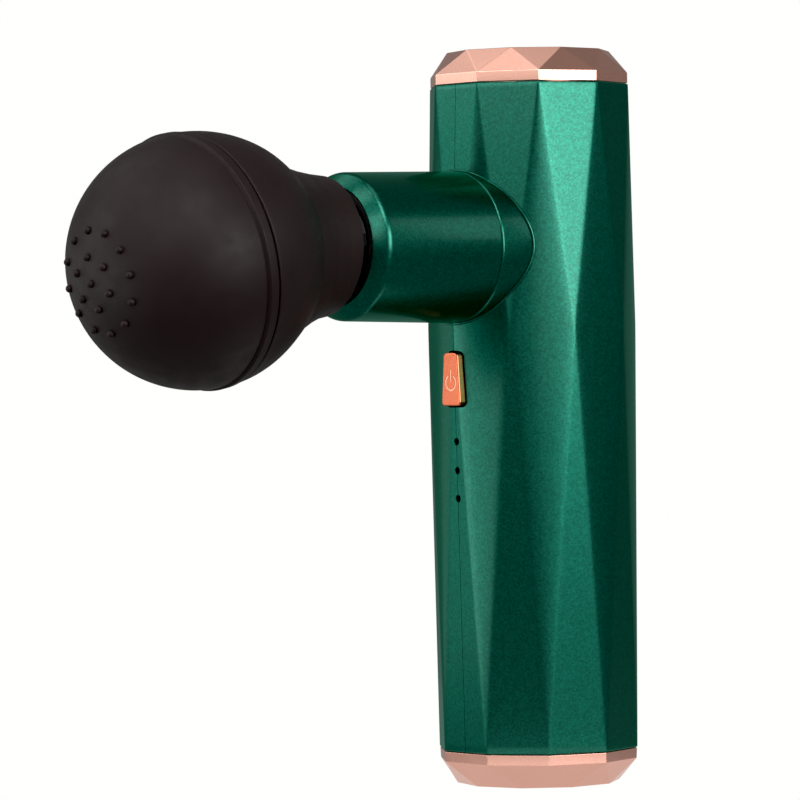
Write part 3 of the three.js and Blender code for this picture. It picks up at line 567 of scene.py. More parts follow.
def softened(outline):
    """The outline with its creases rounded, by averaging it along its own length."""
    closed = np.vstack([outline, outline[:1]])
    steps = np.linalg.norm(np.diff(closed, axis=0), axis=1)
    along = np.concatenate([[0], np.cumsum(steps)])
    total = along[-1]
    offsets = np.linspace(-3, 3, 25) * CREASE_SOFTNESS
    weights = np.exp(-0.5 * (offsets / CREASE_SOFTNESS) ** 2)
    weights /= weights.sum()
    places = (along[:-1, None] + offsets[None, :]) % total
    x = np.interp(places, along, closed[:, 0]) @ weights
    y = np.interp(places, along, closed[:, 1]) @ weights
    return np.stack([x, y], axis=1)


def casing_rows():
    """(z, inset) of each level of the casing, with rounded rims at both ends."""
    rim = [(0.0, 0.22), (0.04, 0.12), (0.12, 0.04), (0.25, 0.0)]
    lower = [(BODY_BOTTOM + dz, inset) for dz, inset in rim]
    upper = [(BODY_TOP - dz, inset) for dz, inset in reversed(rim)]
    shares = (0.02, 0.06, 0.13, 0.22, 0.33, 0.45, 0.57, 0.69, 0.80, 0.89, 0.95, 0.985, 1.0)
    below = [(BODY_BOTTOM + (MID_RING_Z - BODY_BOTTOM) * t, 0.0) for t in shares]
    above = [(BODY_TOP + (MID_RING_Z - BODY_TOP) * t, 0.0) for t in reversed(shares[:-1])]
    return lower + below + above + upper


def front_surface(x, z):
    """How far the casing's surface lies in front of the handle's axis at (x, z)."""
    outline = softened(section(z))
    front = outline[outline[:, 1] < 0]
    order = np.argsort(front[:, 0])
    return -np.interp(x, front[order, 0], front[order, 1])


def casing_tube():
    """The whole casing as one closed tube: outside, rims and bore."""
    vertices, faces = [], []
    rows = casing_rows()
    count = len(section(MID_RING_Z))
    for z, inset in rows:
        outline = softened(section(z))
        length = np.linalg.norm(outline, axis=1, keepdims=True)
        vertices += [(x, y, z) for x, y in outline * (1 - inset / length)]
    bore_start = len(vertices)
    for z in (rows[-1][0], rows[0][0]):
        outline = softened(section(z))
        length = np.linalg.norm(outline, axis=1, keepdims=True)
        vertices += [(x, y, z) for x, y in outline * (BORE_R / length)]
    levels = [j * count for j in range(len(rows))] + [bore_start, bore_start + count]
    for j, low in enumerate(levels):
        high = levels[(j + 1) % len(levels)]
        for i in range(count):
            n = (i + 1) % count
            faces.append((low + i, low + n, high + n, high + i))
    return make_object("casing", vertices, faces)


def trapezoid(grow=0.0, corner=0.9, steps=5):
    """The button's outline, as (x, up) points, anticlockwise."""
    bottom = BUTTON_BOTTOM_WIDTH / 2 + grow
    top = BUTTON_TOP_WIDTH / 2 + grow
    half = BUTTON_HEIGHT / 2 + grow
    corner = max(corner + grow, 0.2)
    loop = [(0, -half, 0), (bottom, -half, corner), (top, half, corner), (-top, half, corner),
            (-bottom, -half, corner), (0, -half, 0)]
    return rounded(loop, steps)[:-1]


def button_place(x, up, along):
    return forwards(x, up, along, BUTTON_Z)


def collar_radius(along):
    """The collar narrows a little towards its front."""
    share = (along - COLLAR_TAPER_START) / (COLLAR_FRONT - COLLAR_TAPER_START)
    return COLLAR_R - COLLAR_TAPER * min(max(share, 0), 1)


COLLAR_PLAY = 0.06
COLLAR_HOLE = (5, 40)  # from and to this distance in front of the handle's axis
FRONT_HOLE = (15, 26)  # the same for the button and the indicators
CELL_PLAY = 1.15  # how much wider than the button the room behind the wall is, on each side
MOUTH_PLAY = 0.34  # and the mouth through the wall
RIM_PLAY = 0.46  # and the mouth's rim
CELL_FRONT = 21.75
MOUTH_FRONT = 22.62
RIM_FRONT = 22.85
INDICATOR_FLARE = 0.12


def barrel_cutter():
    back, front = COLLAR_HOLE
    wide = collar_radius(COLLAR_TAPER_START) + COLLAR_PLAY
    narrow = collar_radius(COLLAR_FRONT) + COLLAR_PLAY
    hole = [(0, back), (wide, back), (wide, COLLAR_TAPER_START), (narrow, COLLAR_FRONT),
            (narrow, front), (0, front)]
    return lathe("barrel_hole", hole, 160, forwards)


def button_cutter():
    """The room behind the wall, the mouth through it and the mouth's chamfered rim."""
    back, front = FRONT_HOLE
    cell, mouth, rim = trapezoid(CELL_PLAY), trapezoid(MOUTH_PLAY), trapezoid(RIM_PLAY)
    depths = [(back, cell), (CELL_FRONT, cell), (CELL_FRONT + 0.01, mouth), (MOUTH_FRONT, mouth),
              (RIM_FRONT, rim), (front, trapezoid(1.2))]
    return prism("button_hole", cell, depths, button_place)


def indicator_place(z):
    """Places a turned piece on the line straight ahead of the handle's axis at height z."""
    def place(x, up, along):
        return forwards(x, up, along, z)
    return place


def indicator_cutter(z):
    back, front = FRONT_HOLE
    surface = front_surface(0, z)
    flare = INDICATOR_FLARE
    r = INDICATOR_HOLE_R
    hole = [(0, back), (r, back), (r, surface - flare), (r + 2 * flare, surface + flare),
            (r + 2 * flare, front), (0, front)]
    return lathe("indicator_hole", hole, 40, indicator_place(z))


def casing_openings():
    """Cutters for the barrel, the button and the indicators."""
    return [barrel_cutter(), button_cutter(), *(indicator_cutter(z) for z in INDICATOR_Z)]


def slab(name, x0, x1):
    """Everything between two upright planes, as a cutter."""
    return box(name, x0, x1, -PAST, PAST, -5, HEIGHT + 5)


def handle_shells():
    """The casing in its two halves, either side of the parting line."""
    tube = casing_tube()
    for cutter in casing_openings():
        combine(tube, cutter)
    for side, name in ((1, "right"), (-1, "left")):
        shell = tube.copy()
        shell.data = tube.data.copy()
        shell.name = f"casing_{name}"
        bpy.context.scene.collection.objects.link(shell)
        combine(shell, slab("other_side", *sorted((-side * PAST, side * SEAM_HALF))))
        smooth(shell, 30)
        put(shell, "handle", PAINT, "green_paint", f"handle_shell_{name}")
    bpy.data.objects.remove(tube)


TONGUE_HALF = 1.2
TONGUE_INNER_R = BORE_R - 0.6
TONGUE_OUTER_R = BORE_R - 0.05
TONGUE_END = 0.4  # how far it stops short of the casing's ends


def seam_tongue():
    """The dark strip that closes the parting line from inside, at the front and the back."""
    low_z, high_z = BODY_BOTTOM + TONGUE_END, BODY_TOP - TONGUE_END
    strip = [(TONGUE_INNER_R, low_z), (TONGUE_OUTER_R, low_z), (TONGUE_OUTER_R, high_z),
             (TONGUE_INNER_R, high_z)]
    made = lathe("seam_tongue", strip, 160)
    combine(made, slab("beyond_right", TONGUE_HALF, PAST))
    combine(made, slab("beyond_left", -PAST, -TONGUE_HALF))
    for cutter in casing_openings():
        combine(made, cutter)
    put(smooth(made), "handle", BLACK_PLASTIC, "black_plastic")


# ---- Caps ----
def cap_hull(name, taper):
    """A cap's faceted outside, its flat face down at z = 0."""
    rings = [(0.0, CAP_FLAT_R, 0.0), (CROWN_HEIGHT, CAP_RING_R - taper, 0.5),
             (CAP_HEIGHT, CAP_RING_R, 0.5)]
    vertices = []
    for z, radius, turn in rings:
        vertices += [(*around(radius, (i + turn) * STEP_DEG), z) for i in range(SIDES)]
    faces = [tuple(reversed(range(SIDES))), tuple(range(2 * SIDES, 3 * SIDES))]
    for i in range(SIDES):
        n = (i + 1) % SIDES
        faces.append((i, n, SIDES + i))
        faces.append((n, SIDES + n, SIDES + i))
        faces.append((SIDES + i, SIDES + n, 2 * SIDES + n, 2 * SIDES + i))
    return make_object(name, vertices, faces)


SPIGOT_R = 18.9
SPIGOT_INNER_R = 17.2
SPIGOT_TOP = highest("bottom_cap", "z")
CAP_FLOOR = 2.2
CAP_FLOOR_R = 15.2
CAP_EDGE = 0.12
USB_Y = middle("usb_c_socket", "y")
SOCKET_MOUTH = (9.9, 4.2)  # width and height
SOCKET_HOLE = (9.3, 3.6)
SOCKET_CHAMFER = 0.35


def cap(name, with_socket):
    """A hollow cap with a spigot that goes into the casing. The bottom one has a socket hole."""
    made = cap_hull(name, CAP_TAPER if with_socket else 0.0)
    soften(made, CAP_EDGE, 3, 8)
    spigot = [(0, CROWN_HEIGHT), (SPIGOT_R, CROWN_HEIGHT), (SPIGOT_R, SPIGOT_TOP), (0, SPIGOT_TOP)]
    combine(made, lathe("spigot", spigot, 96), "UNION")
    pocket = [(0, CAP_FLOOR), (CAP_FLOOR_R, CAP_FLOOR), (SPIGOT_INNER_R, CROWN_HEIGHT),
              (SPIGOT_INNER_R, SPIGOT_TOP + 1), (0, SPIGOT_TOP + 1)]
    combine(made, lathe("pocket", pocket, 96))
    if with_socket:
        combine(made, socket_cutter())
    else:
        made.data.transform(Matrix.Rotation(math.pi, 4, "X"))
        made.data.transform(Matrix.Translation((0, 0, HEIGHT * MM)))
    smooth(made, 34)
    return keep_flat(made)


def stadium(width, height, steps=12):
    """An outline with two straight sides and two half-round ends."""
    r = height / 2
    x = width / 2 - r
    points = []
    for centre, start in ((x, -90), (-x, 90)):
        for k in range(steps + 1):
            angle = math.radians(start + 180 * k / steps)
            points.append((centre + r * math.cos(angle), r * math.sin(angle)))
    return points


def socket_place(x, y, z):
    return (x, y + USB_Y, z)


def socket_cutter():
    """The hole for the charging socket, with a chamfered mouth."""
    wide, narrow = stadium(*SOCKET_MOUTH), stadium(*SOCKET_HOLE)
    depths = [(-1, wide), (0.0, wide), (SOCKET_CHAMFER, narrow), (4, narrow)]
    return prism("socket_hole", wide, depths, socket_place)


def caps():
    top = cap("cap_top", False)
    top.visible_glossy = False  # keeps its orange reflection off the barrel
    put(top, "handle", ROSE, "rose_gold", "top_cap")
    put(cap("cap_bottom", True), "handle", ROSE, "rose_gold", "bottom_cap")


# ---- Barrel ----
BEAD_R = 0.30
BEAD_PROUD = 0.10
COLLAR_EDGE = 0.7
MOUTH_EDGE = 1.9  # the rounding where the sleeve turns into the mouth's chamfer


def collar_outline(count=200):
    """Points of the curve where the collar meets the casing."""
    points = []
    for i in range(count):
        angle = 2 * math.pi * i / count
        radius = COLLAR_R
        for _ in range(3):
            x, up = radius * math.sin(angle), radius * math.cos(angle)
            surface = front_surface(x, BARREL_Z + up)
            radius = collar_radius(surface) + BEAD_PROUD
        points.append((x, up, surface))
    return points


def bead(name, points, radius, sides=10):
    """A thin round bead along a closed curve, drawn in the barrel's frame."""
    path = np.array(points)
    after = np.roll(path, -1, axis=0)
    before = np.roll(path, 1, axis=0)
    tangents = after - before
    tangents /= np.linalg.norm(tangents, axis=1, keepdims=True)
    outwards = path * np.array([1, 1, 0])
    outwards /= np.linalg.norm(outwards, axis=1, keepdims=True)
    across = np.cross(tangents, outwards)
    across /= np.linalg.norm(across, axis=1, keepdims=True)
    outwards = np.cross(across, tangents)
    vertices, faces = [], []
    for k in range(sides):
        angle = 2 * math.pi * k / sides
        ring = path + radius * (math.cos(angle) * outwards + math.sin(angle) * across)
        vertices += [forwards(*p) for p in ring]
    count = len(path)
    for k in range(sides):
        for i in range(count):
            n, m = (i + 1) % count, (k + 1) % sides
            faces.append((k * count + i, k * count + n, m * count + n, m * count + i))
    return make_object(name, vertices, faces)


def collar():
    """The barrel's collar and the bead round its foot."""
    ring = rounded([
        (COLLAR_BORE_R, COLLAR_BACK, 0), (COLLAR_R, COLLAR_BACK, 0.2),
        (COLLAR_R, COLLAR_TAPER_START, 0),
        (collar_radius(COLLAR_FRONT), COLLAR_FRONT, COLLAR_EDGE),
        (COLLAR_BORE_R, COLLAR_FRONT, 0.1), (COLLAR_BORE_R, COLLAR_BACK, 0),
    ], 8)[:-1]
    made = smooth(lathe("collar", ring, 192, forwards))
    put(made, "handle", PAINT, "green_paint", "barrel_collar")
    foot = smooth(bead("collar_bead", collar_outline(), BEAD_R))
    put(foot, "handle", PAINT, "green_paint")


def sleeve():
    tube = rounded([
        (SLEEVE_BORE_R, SLEEVE_BACK, 0), (SLEEVE_NECK_R, SLEEVE_BACK, 0.2),
        (SLEEVE_NECK_R, SLEEVE_START, 0.1), (SLEEVE_R, SLEEVE_START, 0.18),
        (SLEEVE_FRONT_R, CHAMFER_START, MOUTH_EDGE), (SLEEVE_BORE_R + 0.25, BARREL_FRONT, 0.35),
        (SLEEVE_BORE_R, BARREL_FRONT - 0.3, 0.1), (SLEEVE_BORE_R, SLEEVE_BACK, 0),
    ], 8)[:-1]
    made = smooth(lathe("sleeve", tube, 192, forwards))
    put(made, "handle", PAINT, "green_paint", "barrel_sleeve")


def mouth_seal():
    ring = rounded([
        (SEAL_BORE_R, 53.2, 0), (SEAL_R, SEAL_BACK, 0.1), (SEAL_R, SEAL_FRONT, 0.3),
        (11.3, SEAL_FRONT, 0.5), (SEAL_BORE_R, 55.2, 0.2), (SEAL_BORE_R, 53.2, 0),
    ])[:-1]
    made = smooth(lathe("mouth_seal", ring, 128, forwards))
    put(made, "handle", BLACK_RUBBER, "black_rubber", "barrel_front_seal")


# ---- Button and indicators ----
BUTTON_EDGE = 0.32
BUTTON_EDGE_STEPS = 8
FLANGE_HALF_WIDTH = highest("power_button", "x")
FLANGE_Z = (lowest("power_button", "z"), highest("power_button", "z"))
FLANGE_BACK = -highest("power_button", "y")
FLANGE_FRONT = 18.6
SIGN_DEPTH = 0.28
SIGN_FILL = 0.03  # the pale filling, a painted highlight in the sign's groove, stops this far under the face
SIGN_WIDTH = 0.46
SIGN_PLAY = 0.12  # how much narrower the filling is than the cut
SIGN_R = 1.62
SIGN_CENTRE = -0.75
SIGN_BAR = (-0.6, 2.1)
SIGN_RING = (118, 422)  # the ring runs from and to these degrees and is open at the top


def power_sign(name, width, back, front):
    """A plain power sign, an open ring with a bar in its gap, from back to front in depth."""
    vertices, faces = [], []
    steps = 48
    start, end = (math.radians(a) for a in SIGN_RING)
    for k in range(steps + 1):
        angle = start + (end - start) * k / steps
        for r in (SIGN_R - width / 2, SIGN_R + width / 2):
            for along in (back, front):
                up = SIGN_CENTRE + r * math.sin(angle)
                vertices.append(button_place(r * math.cos(angle), up, along))
    for k in range(steps):
        a, b = 4 * k, 4 * k + 4
        for i, j in ((0, 1), (1, 3), (3, 2), (2, 0)):
            faces.append((a + i, a + j, b + j, b + i))
    faces += [(0, 1, 3, 2), (4 * steps, 4 * steps + 2, 4 * steps + 3, 4 * steps + 1)]
    ring = make_object(f"{name}_ring", vertices, faces)
    bar = box(f"{name}_bar", -width / 2, width / 2, -front, -back, BUTTON_Z + SIGN_BAR[0],
              BUTTON_Z + SIGN_BAR[1])
    return ring, bar


def power_button():
    """The button with its rounded edges, its sign with a pale filling painted in as highlight, and
    the flange that holds it in.
    """
    depths = [(BUTTON_BACK, trapezoid())]
    for k in range(BUTTON_EDGE_STEPS + 1):
        angle = math.radians(90 * k / BUTTON_EDGE_STEPS)
        inset = BUTTON_EDGE * (1 - math.cos(angle))
        depth = BUTTON_FRONT - BUTTON_EDGE + BUTTON_EDGE * math.sin(angle)
        depths.append((depth, trapezoid(-inset)))
    made = prism("button_cap", trapezoid(), depths, button_place)
    sign_floor = BUTTON_FRONT - SIGN_DEPTH
    for cutter in power_sign("sign_cut", SIGN_WIDTH, sign_floor, BUTTON_FRONT + 1):
        combine(made, cutter)
    # The sign's groove gets a pale filling: a painted highlight where the groove's edges would
    # catch light.
    fill_front = BUTTON_FRONT - SIGN_FILL
    for highlight_fill in power_sign("sign", SIGN_WIDTH - SIGN_PLAY, sign_floor + 0.01, fill_front):
        put(highlight_fill, "power_button", SIGN_HIGHLIGHT_PAINT, "rose_gold")
    flange = box("flange", -FLANGE_HALF_WIDTH, FLANGE_HALF_WIDTH, -FLANGE_FRONT, -FLANGE_BACK,
                 *FLANGE_Z)
    combine(made, flange, "UNION")
    smooth(made, 40)
    put(keep_flat(made), "power_button", COPPER, "copper_button", "power_button")


GASKET_OUTER = 0.8  # how much wider than the button, on each side
GASKET_INNER = 0.22
GASKET_BACK = -highest("button_gasket", "y")
GASKET_FRONT = -lowest("button_gasket", "y")


def button_gasket():
    """The thin rubber ring behind the casing's wall, round the button."""
    outer, inner = trapezoid(GASKET_OUTER), trapezoid(GASKET_INNER)
    depths = [(GASKET_BACK, outer), (21.45, outer), (GASKET_FRONT, trapezoid(0.7))]
    made = prism("gasket", outer, depths, button_place)
    combine(made, prism("gasket_hole", inner, [(19, inner), (22, inner)], button_place))
    put(smooth(made), "handle", BLACK_RUBBER, "black_rubber", "button_gasket")


LENS_FLANGE_R = highest("indicator_lens_1", "x")
LENS_FLANGE = (-highest("indicator_lens_1", "y"), 17.8)  # from and to this distance
LENS_ROD_R = INDICATOR_HOLE_R - 0.12


def indicators():
    """Three light pipes, each a flange and a rod that stops inside its hole."""
    back, front = LENS_FLANGE
    for i, z in enumerate(INDICATOR_Z):
        surface = front_surface(0, z)
        lens = rounded([
            (0, back, 0), (LENS_FLANGE_R, back, 0.1), (LENS_FLANGE_R, front, 0.1),
            (LENS_ROD_R, front, 0.05), (LENS_ROD_R, surface - 1.3, 0.2), (0, surface - 1.2, 0),
        ], 4)
        made = lathe(f"lens_{i + 1}", lens, 40, indicator_place(z))
        put(smooth(made), "handle", DARK_LENS, "dark_lens", f"indicator_lens_{i + 1}")


# ---- Head ----
def drooped(x, up, along):
    """As forwards, after the soft head has bent down along its neck."""
    length = BALL_CENTRE - HEAD_REAR
    share = min(max((along - HEAD_REAR) / length, 0), 1)
    past = max(along - BALL_CENTRE, 0)
    angle = HEAD_DROOP * share
    bent = HEAD_DROOP * length * share**2 / 2
    drop = bent + past * math.sin(angle)
    reach = along - past * (1 - math.cos(angle))
    return forwards(x, -drop + up * math.cos(angle), reach + up * math.sin(angle))


NECK_END = 74.1
NECK_SAG = 1.1
NECK_WALL = 64.0  # the rear wall of the bell reaches forward to here
NECK_HOLE_R = 8.2
SKIN_INNER_R = CORE_R + 0.5
LIP_R = BALL_R + 0.3
SEAM_BACK = 0.65  # the seam lies behind the ball's middle by this much
LIP_END = 2.25  # and the dome's lip ends in front of it
NUB_R = 0.85
NUB_RINGS = ((1, 0.0), (6, 11.7), (12, 23.6))  # how many, and degrees from straight ahead
NUB_TURN = -6.4
NUB_SHIFT = (-0.013, 0.008, 0)  # the pattern sits a little off the ball's axis
SEAM_GAP_HALF = 0.06
HEAD_SIDES = 224


def on_ball(radius, ahead):
    """The point (r, s) of a circle about the ball's centre that lies this far in front of it."""
    return (math.sqrt(radius**2 - ahead**2), BALL_CENTRE + ahead)


def sagging(x, up, along):
    """The neck's outside hangs a little lower than its core, most where it meets the ball."""
    point = drooped(x, up, along)
    share = min(max((along - HEAD_REAR) / (NECK_END - HEAD_REAR), 0), 1)
    past = min(max((along - NECK_END) / 6, 0), 1)
    outside = min(max((math.hypot(x, up) - 12.5) / 2, 0), 1)
    sag = NECK_SAG * math.sin(share * math.pi / 2) ** 2 * (1 - past) ** 2 * outside
    below = max(-up / max(math.hypot(x, up), 1), 0)
    return (point[0], point[1], point[2] - sag * (0.25 + 0.75 * below))


def rear_bell():
    """The rear half of the ball and its flared neck, up to the seam."""
    rim = 15.05
    crease_r = 18.6
    crease = 180 - math.degrees(math.asin(crease_r / BALL_R))
    face = -SEAM_BACK - SEAM_GAP_HALF
    seam_angle = 90 + math.degrees((SEAM_BACK + 1.0) / BALL_R)
    ball = arc(BALL_CENTRE, BALL_R, crease, seam_angle, 64)
    outer = rounded([
        (NECK_HOLE_R, HEAD_REAR, 0), (rim, HEAD_REAR, 0.4), (rim + 0.45, 64.0, 6),
        (rim + 1.4, 68.0, 8), (ball[0][0], ball[0][1], 0.9), ball[6] + (0,),
    ], 8)
    edge = rounded([
        ball[-1] + (0,), on_ball(BALL_R, face) + (0.55,), (SKIN_INNER_R, BALL_CENTRE + face, 0),
    ], 6)
    skin_bore = 180 - math.degrees(math.asin(NECK_BORE_R / SKIN_INNER_R))
    inner = arc(BALL_CENTRE, SKIN_INNER_R, 94, skin_bore, 30)
    inner += [(NECK_BORE_R, NECK_WALL), (NECK_HOLE_R, NECK_WALL)]
    made = lathe("rear_bell", outer + ball[7:-1] + edge + inner, HEAD_SIDES, sagging)
    put(smooth(made, 40), "massage_head", RUBBER, "head_rubber", "head_rear_bell")


def nub(tilt, turn):
    """A small ball, half sunk into the dome."""
    sphere = bmesh.new()
    bmesh.ops.create_uvsphere(sphere, u_segments=20, v_segments=12, radius=NUB_R)
    t, a = math.radians(tilt), math.radians(turn)
    centre = Vector((math.sin(t) * math.sin(a), math.sin(t) * math.cos(a), math.cos(t)))
    centre = (centre + Vector(NUB_SHIFT)).normalized() * (BALL_R + 0.2)
    vertices = []
    for v in sphere.verts:
        p = centre + v.co
        vertices.append(drooped(p.x, p.y, BALL_CENTRE + p.z))
    faces = [[v.index for v in f.verts] for f in sphere.faces]
    sphere.free()
    return make_object("nub", vertices, faces)


def front_dome():
    """The front half of the ball, with the raised band along the seam and the nubs."""
    face = BALL_CENTRE - SEAM_BACK + SEAM_GAP_HALF
    lip_end = BALL_CENTRE + LIP_END
    groove = on_ball(BALL_R - 0.45, LIP_END + 0.2)
    start = on_ball(BALL_R, LIP_END + 0.62)
    start_angle = math.degrees(math.acos((LIP_END + 0.62) / BALL_R))
    dome = arc(BALL_CENTRE, BALL_R, start_angle, 0, 76)
    lip = rounded([
        (SKIN_INNER_R, face, 0), (LIP_R - 0.62, face, 0.2), (LIP_R, face + 0.75, 0.5),
        (LIP_R + 0.02, lip_end - 0.35, 0.3), groove + (0.12,), start + (0.25,), dome[4] + (0,),
    ], 6)
    inner = arc(BALL_CENTRE, SKIN_INNER_R, 0, 89.5, 30)
    made = lathe("front_dome", lip + dome[5:] + inner, HEAD_SIDES, drooped)
    for count, tilt in NUB_RINGS:
        for i in range(count):
            combine(made, nub(tilt, NUB_TURN + 360 * i / count), "UNION")
    put(smooth(made, 40), "massage_head", RUBBER, "head_rubber", "head_front_dome")


PLUG_R = 7.3
PLUG_BACK = -highest("head_plug", "y")
GROOVE_R = 6.2
GROOVE = (48.9, 50.5)  # from and to this distance
PLUG_COLLAR_R = 7.9
PLUG_COLLAR = (59.6, 60.2)  # where the plug widens into its collar
PLUG_DISC_R = highest("head_plug", "x")
PLUG_DISC = (64.3, 67.0)
O_RING_R = 6.97
O_RING_WIRE_R = 0.5
O_RING_PLACE = -middle("plug_o_ring", "y")
CORE_BACK = 67.3


def head_plug():
    """The plug that goes into the rod's socket, and its disc inside the bell."""
    turned = rounded([
        (0, PLUG_BACK, 0), (PLUG_R, PLUG_BACK, 0.8), (PLUG_R, GROOVE[0], 0.1),
        (GROOVE_R, GROOVE[0], 0.1), (GROOVE_R, GROOVE[1], 0.1), (PLUG_R, GROOVE[1], 0.1),
        (PLUG_R, PLUG_COLLAR[0], 0.2), (PLUG_COLLAR_R, PLUG_COLLAR[1], 0.2),
        (PLUG_COLLAR_R, PLUG_DISC[0], 0.1), (PLUG_DISC_R, PLUG_DISC[0], 0.3),
        (PLUG_DISC_R, PLUG_DISC[1], 0.3), (0, PLUG_DISC[1], 0),
    ], 4)
    made = smooth(lathe("plug", turned, 96, drooped))
    put(made, "massage_head", BLACK_PLASTIC, "black_plastic", "head_plug")


def o_ring():
    turns = np.linspace(0, 2 * math.pi, 16, endpoint=False)
    ring = [(O_RING_R + O_RING_WIRE_R * math.cos(a), O_RING_PLACE + O_RING_WIRE_R * math.sin(a))
            for a in turns]
    made = smooth(lathe("o_ring", ring, 96, forwards))
    put(made, "massage_head", BLACK_RUBBER, "black_rubber", "plug_o_ring")


def foam_core():
    """The foam ball, with a short neck that ends just in front of the plug's disc."""
    start = 180 - math.degrees(math.asin(PLUG_DISC_R / CORE_R))
    ball = arc(BALL_CENTRE, CORE_R, start, 0, 48)
    made = smooth(lathe("core", [(0, CORE_BACK), (PLUG_DISC_R, CORE_BACK), *ball], 128, drooped))
    put(made, "massage_head", FOAM, "foam", "head_core")


# ---- Camera, light and floor ----
CAMERA_AZIMUTH = math.radians(48.17)
CAMERA_DISTANCE = 1.008
CAMERA_HEIGHT = 0.0952
CAMERA_LENS = 205.5
SENSOR = 36.0
CAMERA_ROLL = math.radians(0.87)
AXIS_SHARE = 0.1663  # how far right of the middle the handle's axis lies, in picture widths
HORIZON_SHARE = 0.0605  # how far above the middle the camera's own height lies


def camera():
    data = bpy.data.cameras.new("camera")
    data.lens = CAMERA_LENS
    data.sensor_width = SENSOR
    data.clip_start = 0.05
    data.clip_end = 50
    obj = bpy.data.objects.new("camera", data)
    bpy.context.scene.collection.objects.link(obj)
    away = Vector((math.sin(CAMERA_AZIMUTH), -math.cos(CAMERA_AZIMUTH), 0))
    right = Vector((math.cos(CAMERA_AZIMUTH), math.sin(CAMERA_AZIMUTH), 0))
    up = Vector((0, 0, 1))
    look = -away - right * (AXIS_SHARE * SENSOR / CAMERA_LENS) - up * (
        HORIZON_SHARE * SENSOR / CAMERA_LENS
    )
    obj.location = away * CAMERA_DISTANCE + up * CAMERA_HEIGHT
    level = look.to_track_quat("-Z", "Y").to_matrix().to_4x4()
    turned = level @ Matrix.Rotation(-CAMERA_ROLL, 4, "Z")
    obj.rotation_mode = "QUATERNION"
    obj.rotation_quaternion = turned.to_quaternion()
    bpy.context.scene.camera = obj


PANEL_DISTANCE = 1.0
PANEL_SIZE = (0.38, 0.44)
PANEL_TARGET = Vector((0, 0, 0.09))
PANELS = (  # bearing to the right of the camera, elevation, watts
    # right, level
    (20, 12, 1.0), (30, 12, 1.4), (40, 12, 3.2), (50, 12, 1.3), (90, 22, 0.7),
    # above
    (0, 44, 3.7), (0, 82, 0.5), (-30, 68, 0.5), (-60, 44, 1.5), (-110, 56, 0.6), (-120, 44, 0.3),
    # left, level
    (-30, 22, 1.8), (-90, 22, 1.6), (-100, 3, 0.3),
    # left, low
    (-60, -8, 0.9), (-80, -8, 1.5), (-120, -8, 0.4),
)
ROOM_LIGHT = 0.24  # what the pale room itself sends from every side
CARD_LIGHT = 0.78  # the pale patch of floor under the object
CARD_R = 40
WIDE_CARD_LIGHT = 0.31  # the dimmer floor round it
WIDE_CARD_R = 300
FRONT_CARD_LIGHT = 1.35  # a bright strip of floor in front of the object
FRONT_CARD = (34, 68, -36, 64)  # from and to this radius, and these bearings
FRONT_CARD_Z = -0.3
CARD_Z = (-0.6, -0.5)  # the other cards' undersides and tops, just under the floor
FLOOR_REACH = 4000
BACKDROP = (1.0, 1.0, 0.984)
BLACK_LEVEL = 0.005


def panel(name, bearing, elevation, power):
    """A soft area light aimed at the handle. Bearing is in degrees to the right of the camera."""
    light = bpy.data.lights.new(name, "AREA")
    light.shape = "RECTANGLE"
    light.size, light.size_y = PANEL_SIZE
    light.energy = power
    obj = bpy.data.objects.new(name, light)
    bpy.context.scene.collection.objects.link(obj)
    a, e = CAMERA_AZIMUTH + math.radians(bearing), math.radians(elevation)
    back = Vector((math.sin(a) * math.cos(e), -math.cos(a) * math.cos(e), math.sin(e)))
    obj.location = PANEL_TARGET + back * PANEL_DISTANCE
    obj.rotation_mode = "QUATERNION"
    obj.rotation_quaternion = (-back).to_track_quat("-Z", "Y")


def lights():
    for number, (bearing, elevation, power) in enumerate(PANELS):
        panel(f"panel_{number + 1}", bearing, elevation, power)


def world():
    """Pale to the camera, dim to everything else, so that the panels shape the facets."""
    made = bpy.data.worlds.new("studio")
    bpy.context.scene.world = made
    made.use_nodes = True
    tree = made.node_tree
    tree.nodes.clear()
    output = tree.nodes.new("ShaderNodeOutputWorld")
    mix = tree.nodes.new("ShaderNodeMixShader")
    path = tree.nodes.new("ShaderNodeLightPath")
    room = tree.nodes.new("ShaderNodeBackground")
    room.inputs["Color"].default_value = (1, 1, 1, 1)
    room.inputs["Strength"].default_value = ROOM_LIGHT
    backdrop = tree.nodes.new("ShaderNodeBackground")
    backdrop.inputs["Color"].default_value = (*BACKDROP, 1)
    backdrop.inputs["Strength"].default_value = 1.0
    tree.links.new(path.outputs["Is Camera Ray"], mix.inputs["Fac"])
    tree.links.new(room.outputs[0], mix.inputs[1])
    tree.links.new(backdrop.outputs[0], mix.inputs[2])
    tree.links.new(mix.outputs[0], output.inputs["Surface"])


def floor_ring(name, inner, outer):
    low_z, high_z = CARD_Z
    return lathe(name, [(inner, low_z), (outer, low_z), (outer, high_z), (inner, high_z)], 64)


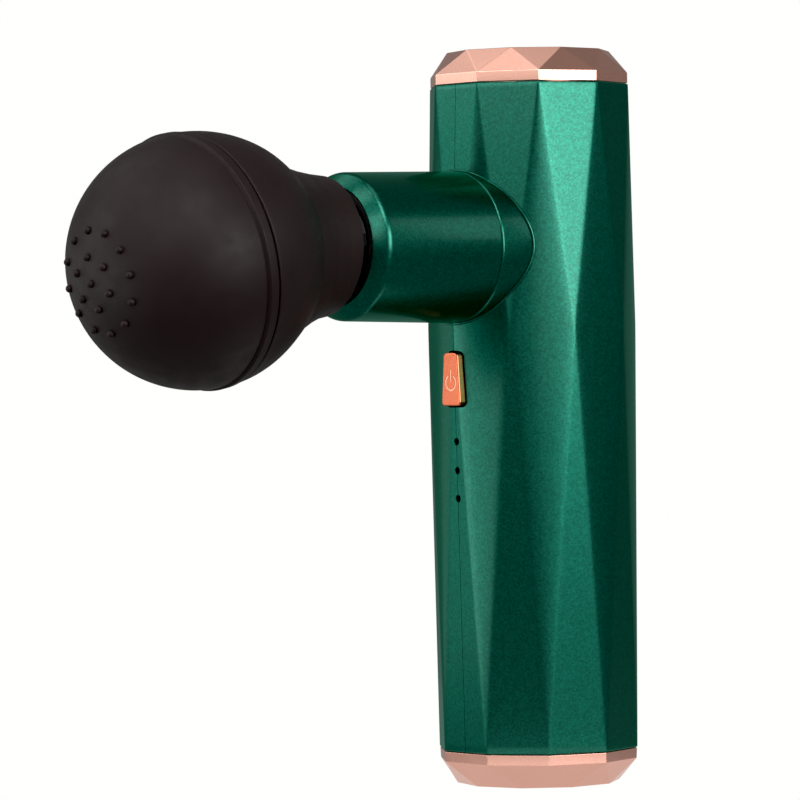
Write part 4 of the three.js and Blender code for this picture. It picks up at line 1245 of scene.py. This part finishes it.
def glowing(card, strength):
    """Makes a card that lights the object but that the camera doesn't see."""
    shader = Shader(card.name, Roughness=0.9, Specular_IOR_Level=0.0)
    shader.set("Base Color", (0, 0, 0, 1))
    shader.set("Emission Color", (1, 1, 1, 1))
    shader.set("Emission Strength", strength)
    card.data.materials.append(shader.material)
    card.visible_camera = False
    card.visible_shadow = False
    return card


def front_card():
    """The part of a floor ring that lies in front of the cap, towards the camera."""
    inner, outer, start, end = FRONT_CARD
    turns = np.radians(np.linspace(start, end, 25)) + CAMERA_AZIMUTH
    vertices = [(r * math.sin(a), -r * math.cos(a), FRONT_CARD_Z)
                for a in turns for r in (inner, outer)]
    faces = [(2 * k, 2 * k + 1, 2 * k + 3, 2 * k + 2) for k in range(len(turns) - 1)]
    return make_object("front_card", vertices, faces)


def floor():
    """A pale floor that only the camera sees, and cards under it for the light it throws back."""
    s = Shader("floor", Roughness=0.9, Specular_IOR_Level=0.0)
    s.set("Base Color", (0, 0, 0, 1))
    s.set("Emission Color", (*BACKDROP, 1))
    s.set("Emission Strength", 1.0)
    r = FLOOR_REACH
    corners = [(-r, -r, 0), (r, -r, 0), (r, r, 0), (-r, r, 0)]
    ground = make_object("floor", corners, [(0, 1, 2, 3)])
    ground.data.materials.append(s.material)
    ground.visible_glossy = False
    ground.visible_diffuse = False
    ground.visible_shadow = False
    near = glowing(floor_ring("near_card", 0, CARD_R), CARD_LIGHT)
    wide = glowing(floor_ring("wide_card", CARD_R + 1, WIDE_CARD_R), WIDE_CARD_LIGHT)
    glowing(front_card(), FRONT_CARD_LIGHT)


def colour_management():
    """A plain view with the blacks set a little deeper."""
    settings = bpy.context.scene.view_settings
    settings.view_transform = "Standard"
    settings.look = "None"
    settings.exposure = 0.0
    settings.use_curve_mapping = True
    settings.curve_mapping.black_level = (BLACK_LEVEL,) * 3
    settings.curve_mapping.update()


camera()
lights()
world()
floor()
colour_management()
dress_cad_nodes()
handle_shells()
seam_tongue()
caps()
collar()
sleeve()
mouth_seal()
power_button()
button_gasket()
indicators()
rear_bell()
front_dome()
head_plug()
o_ring()
foam_core()
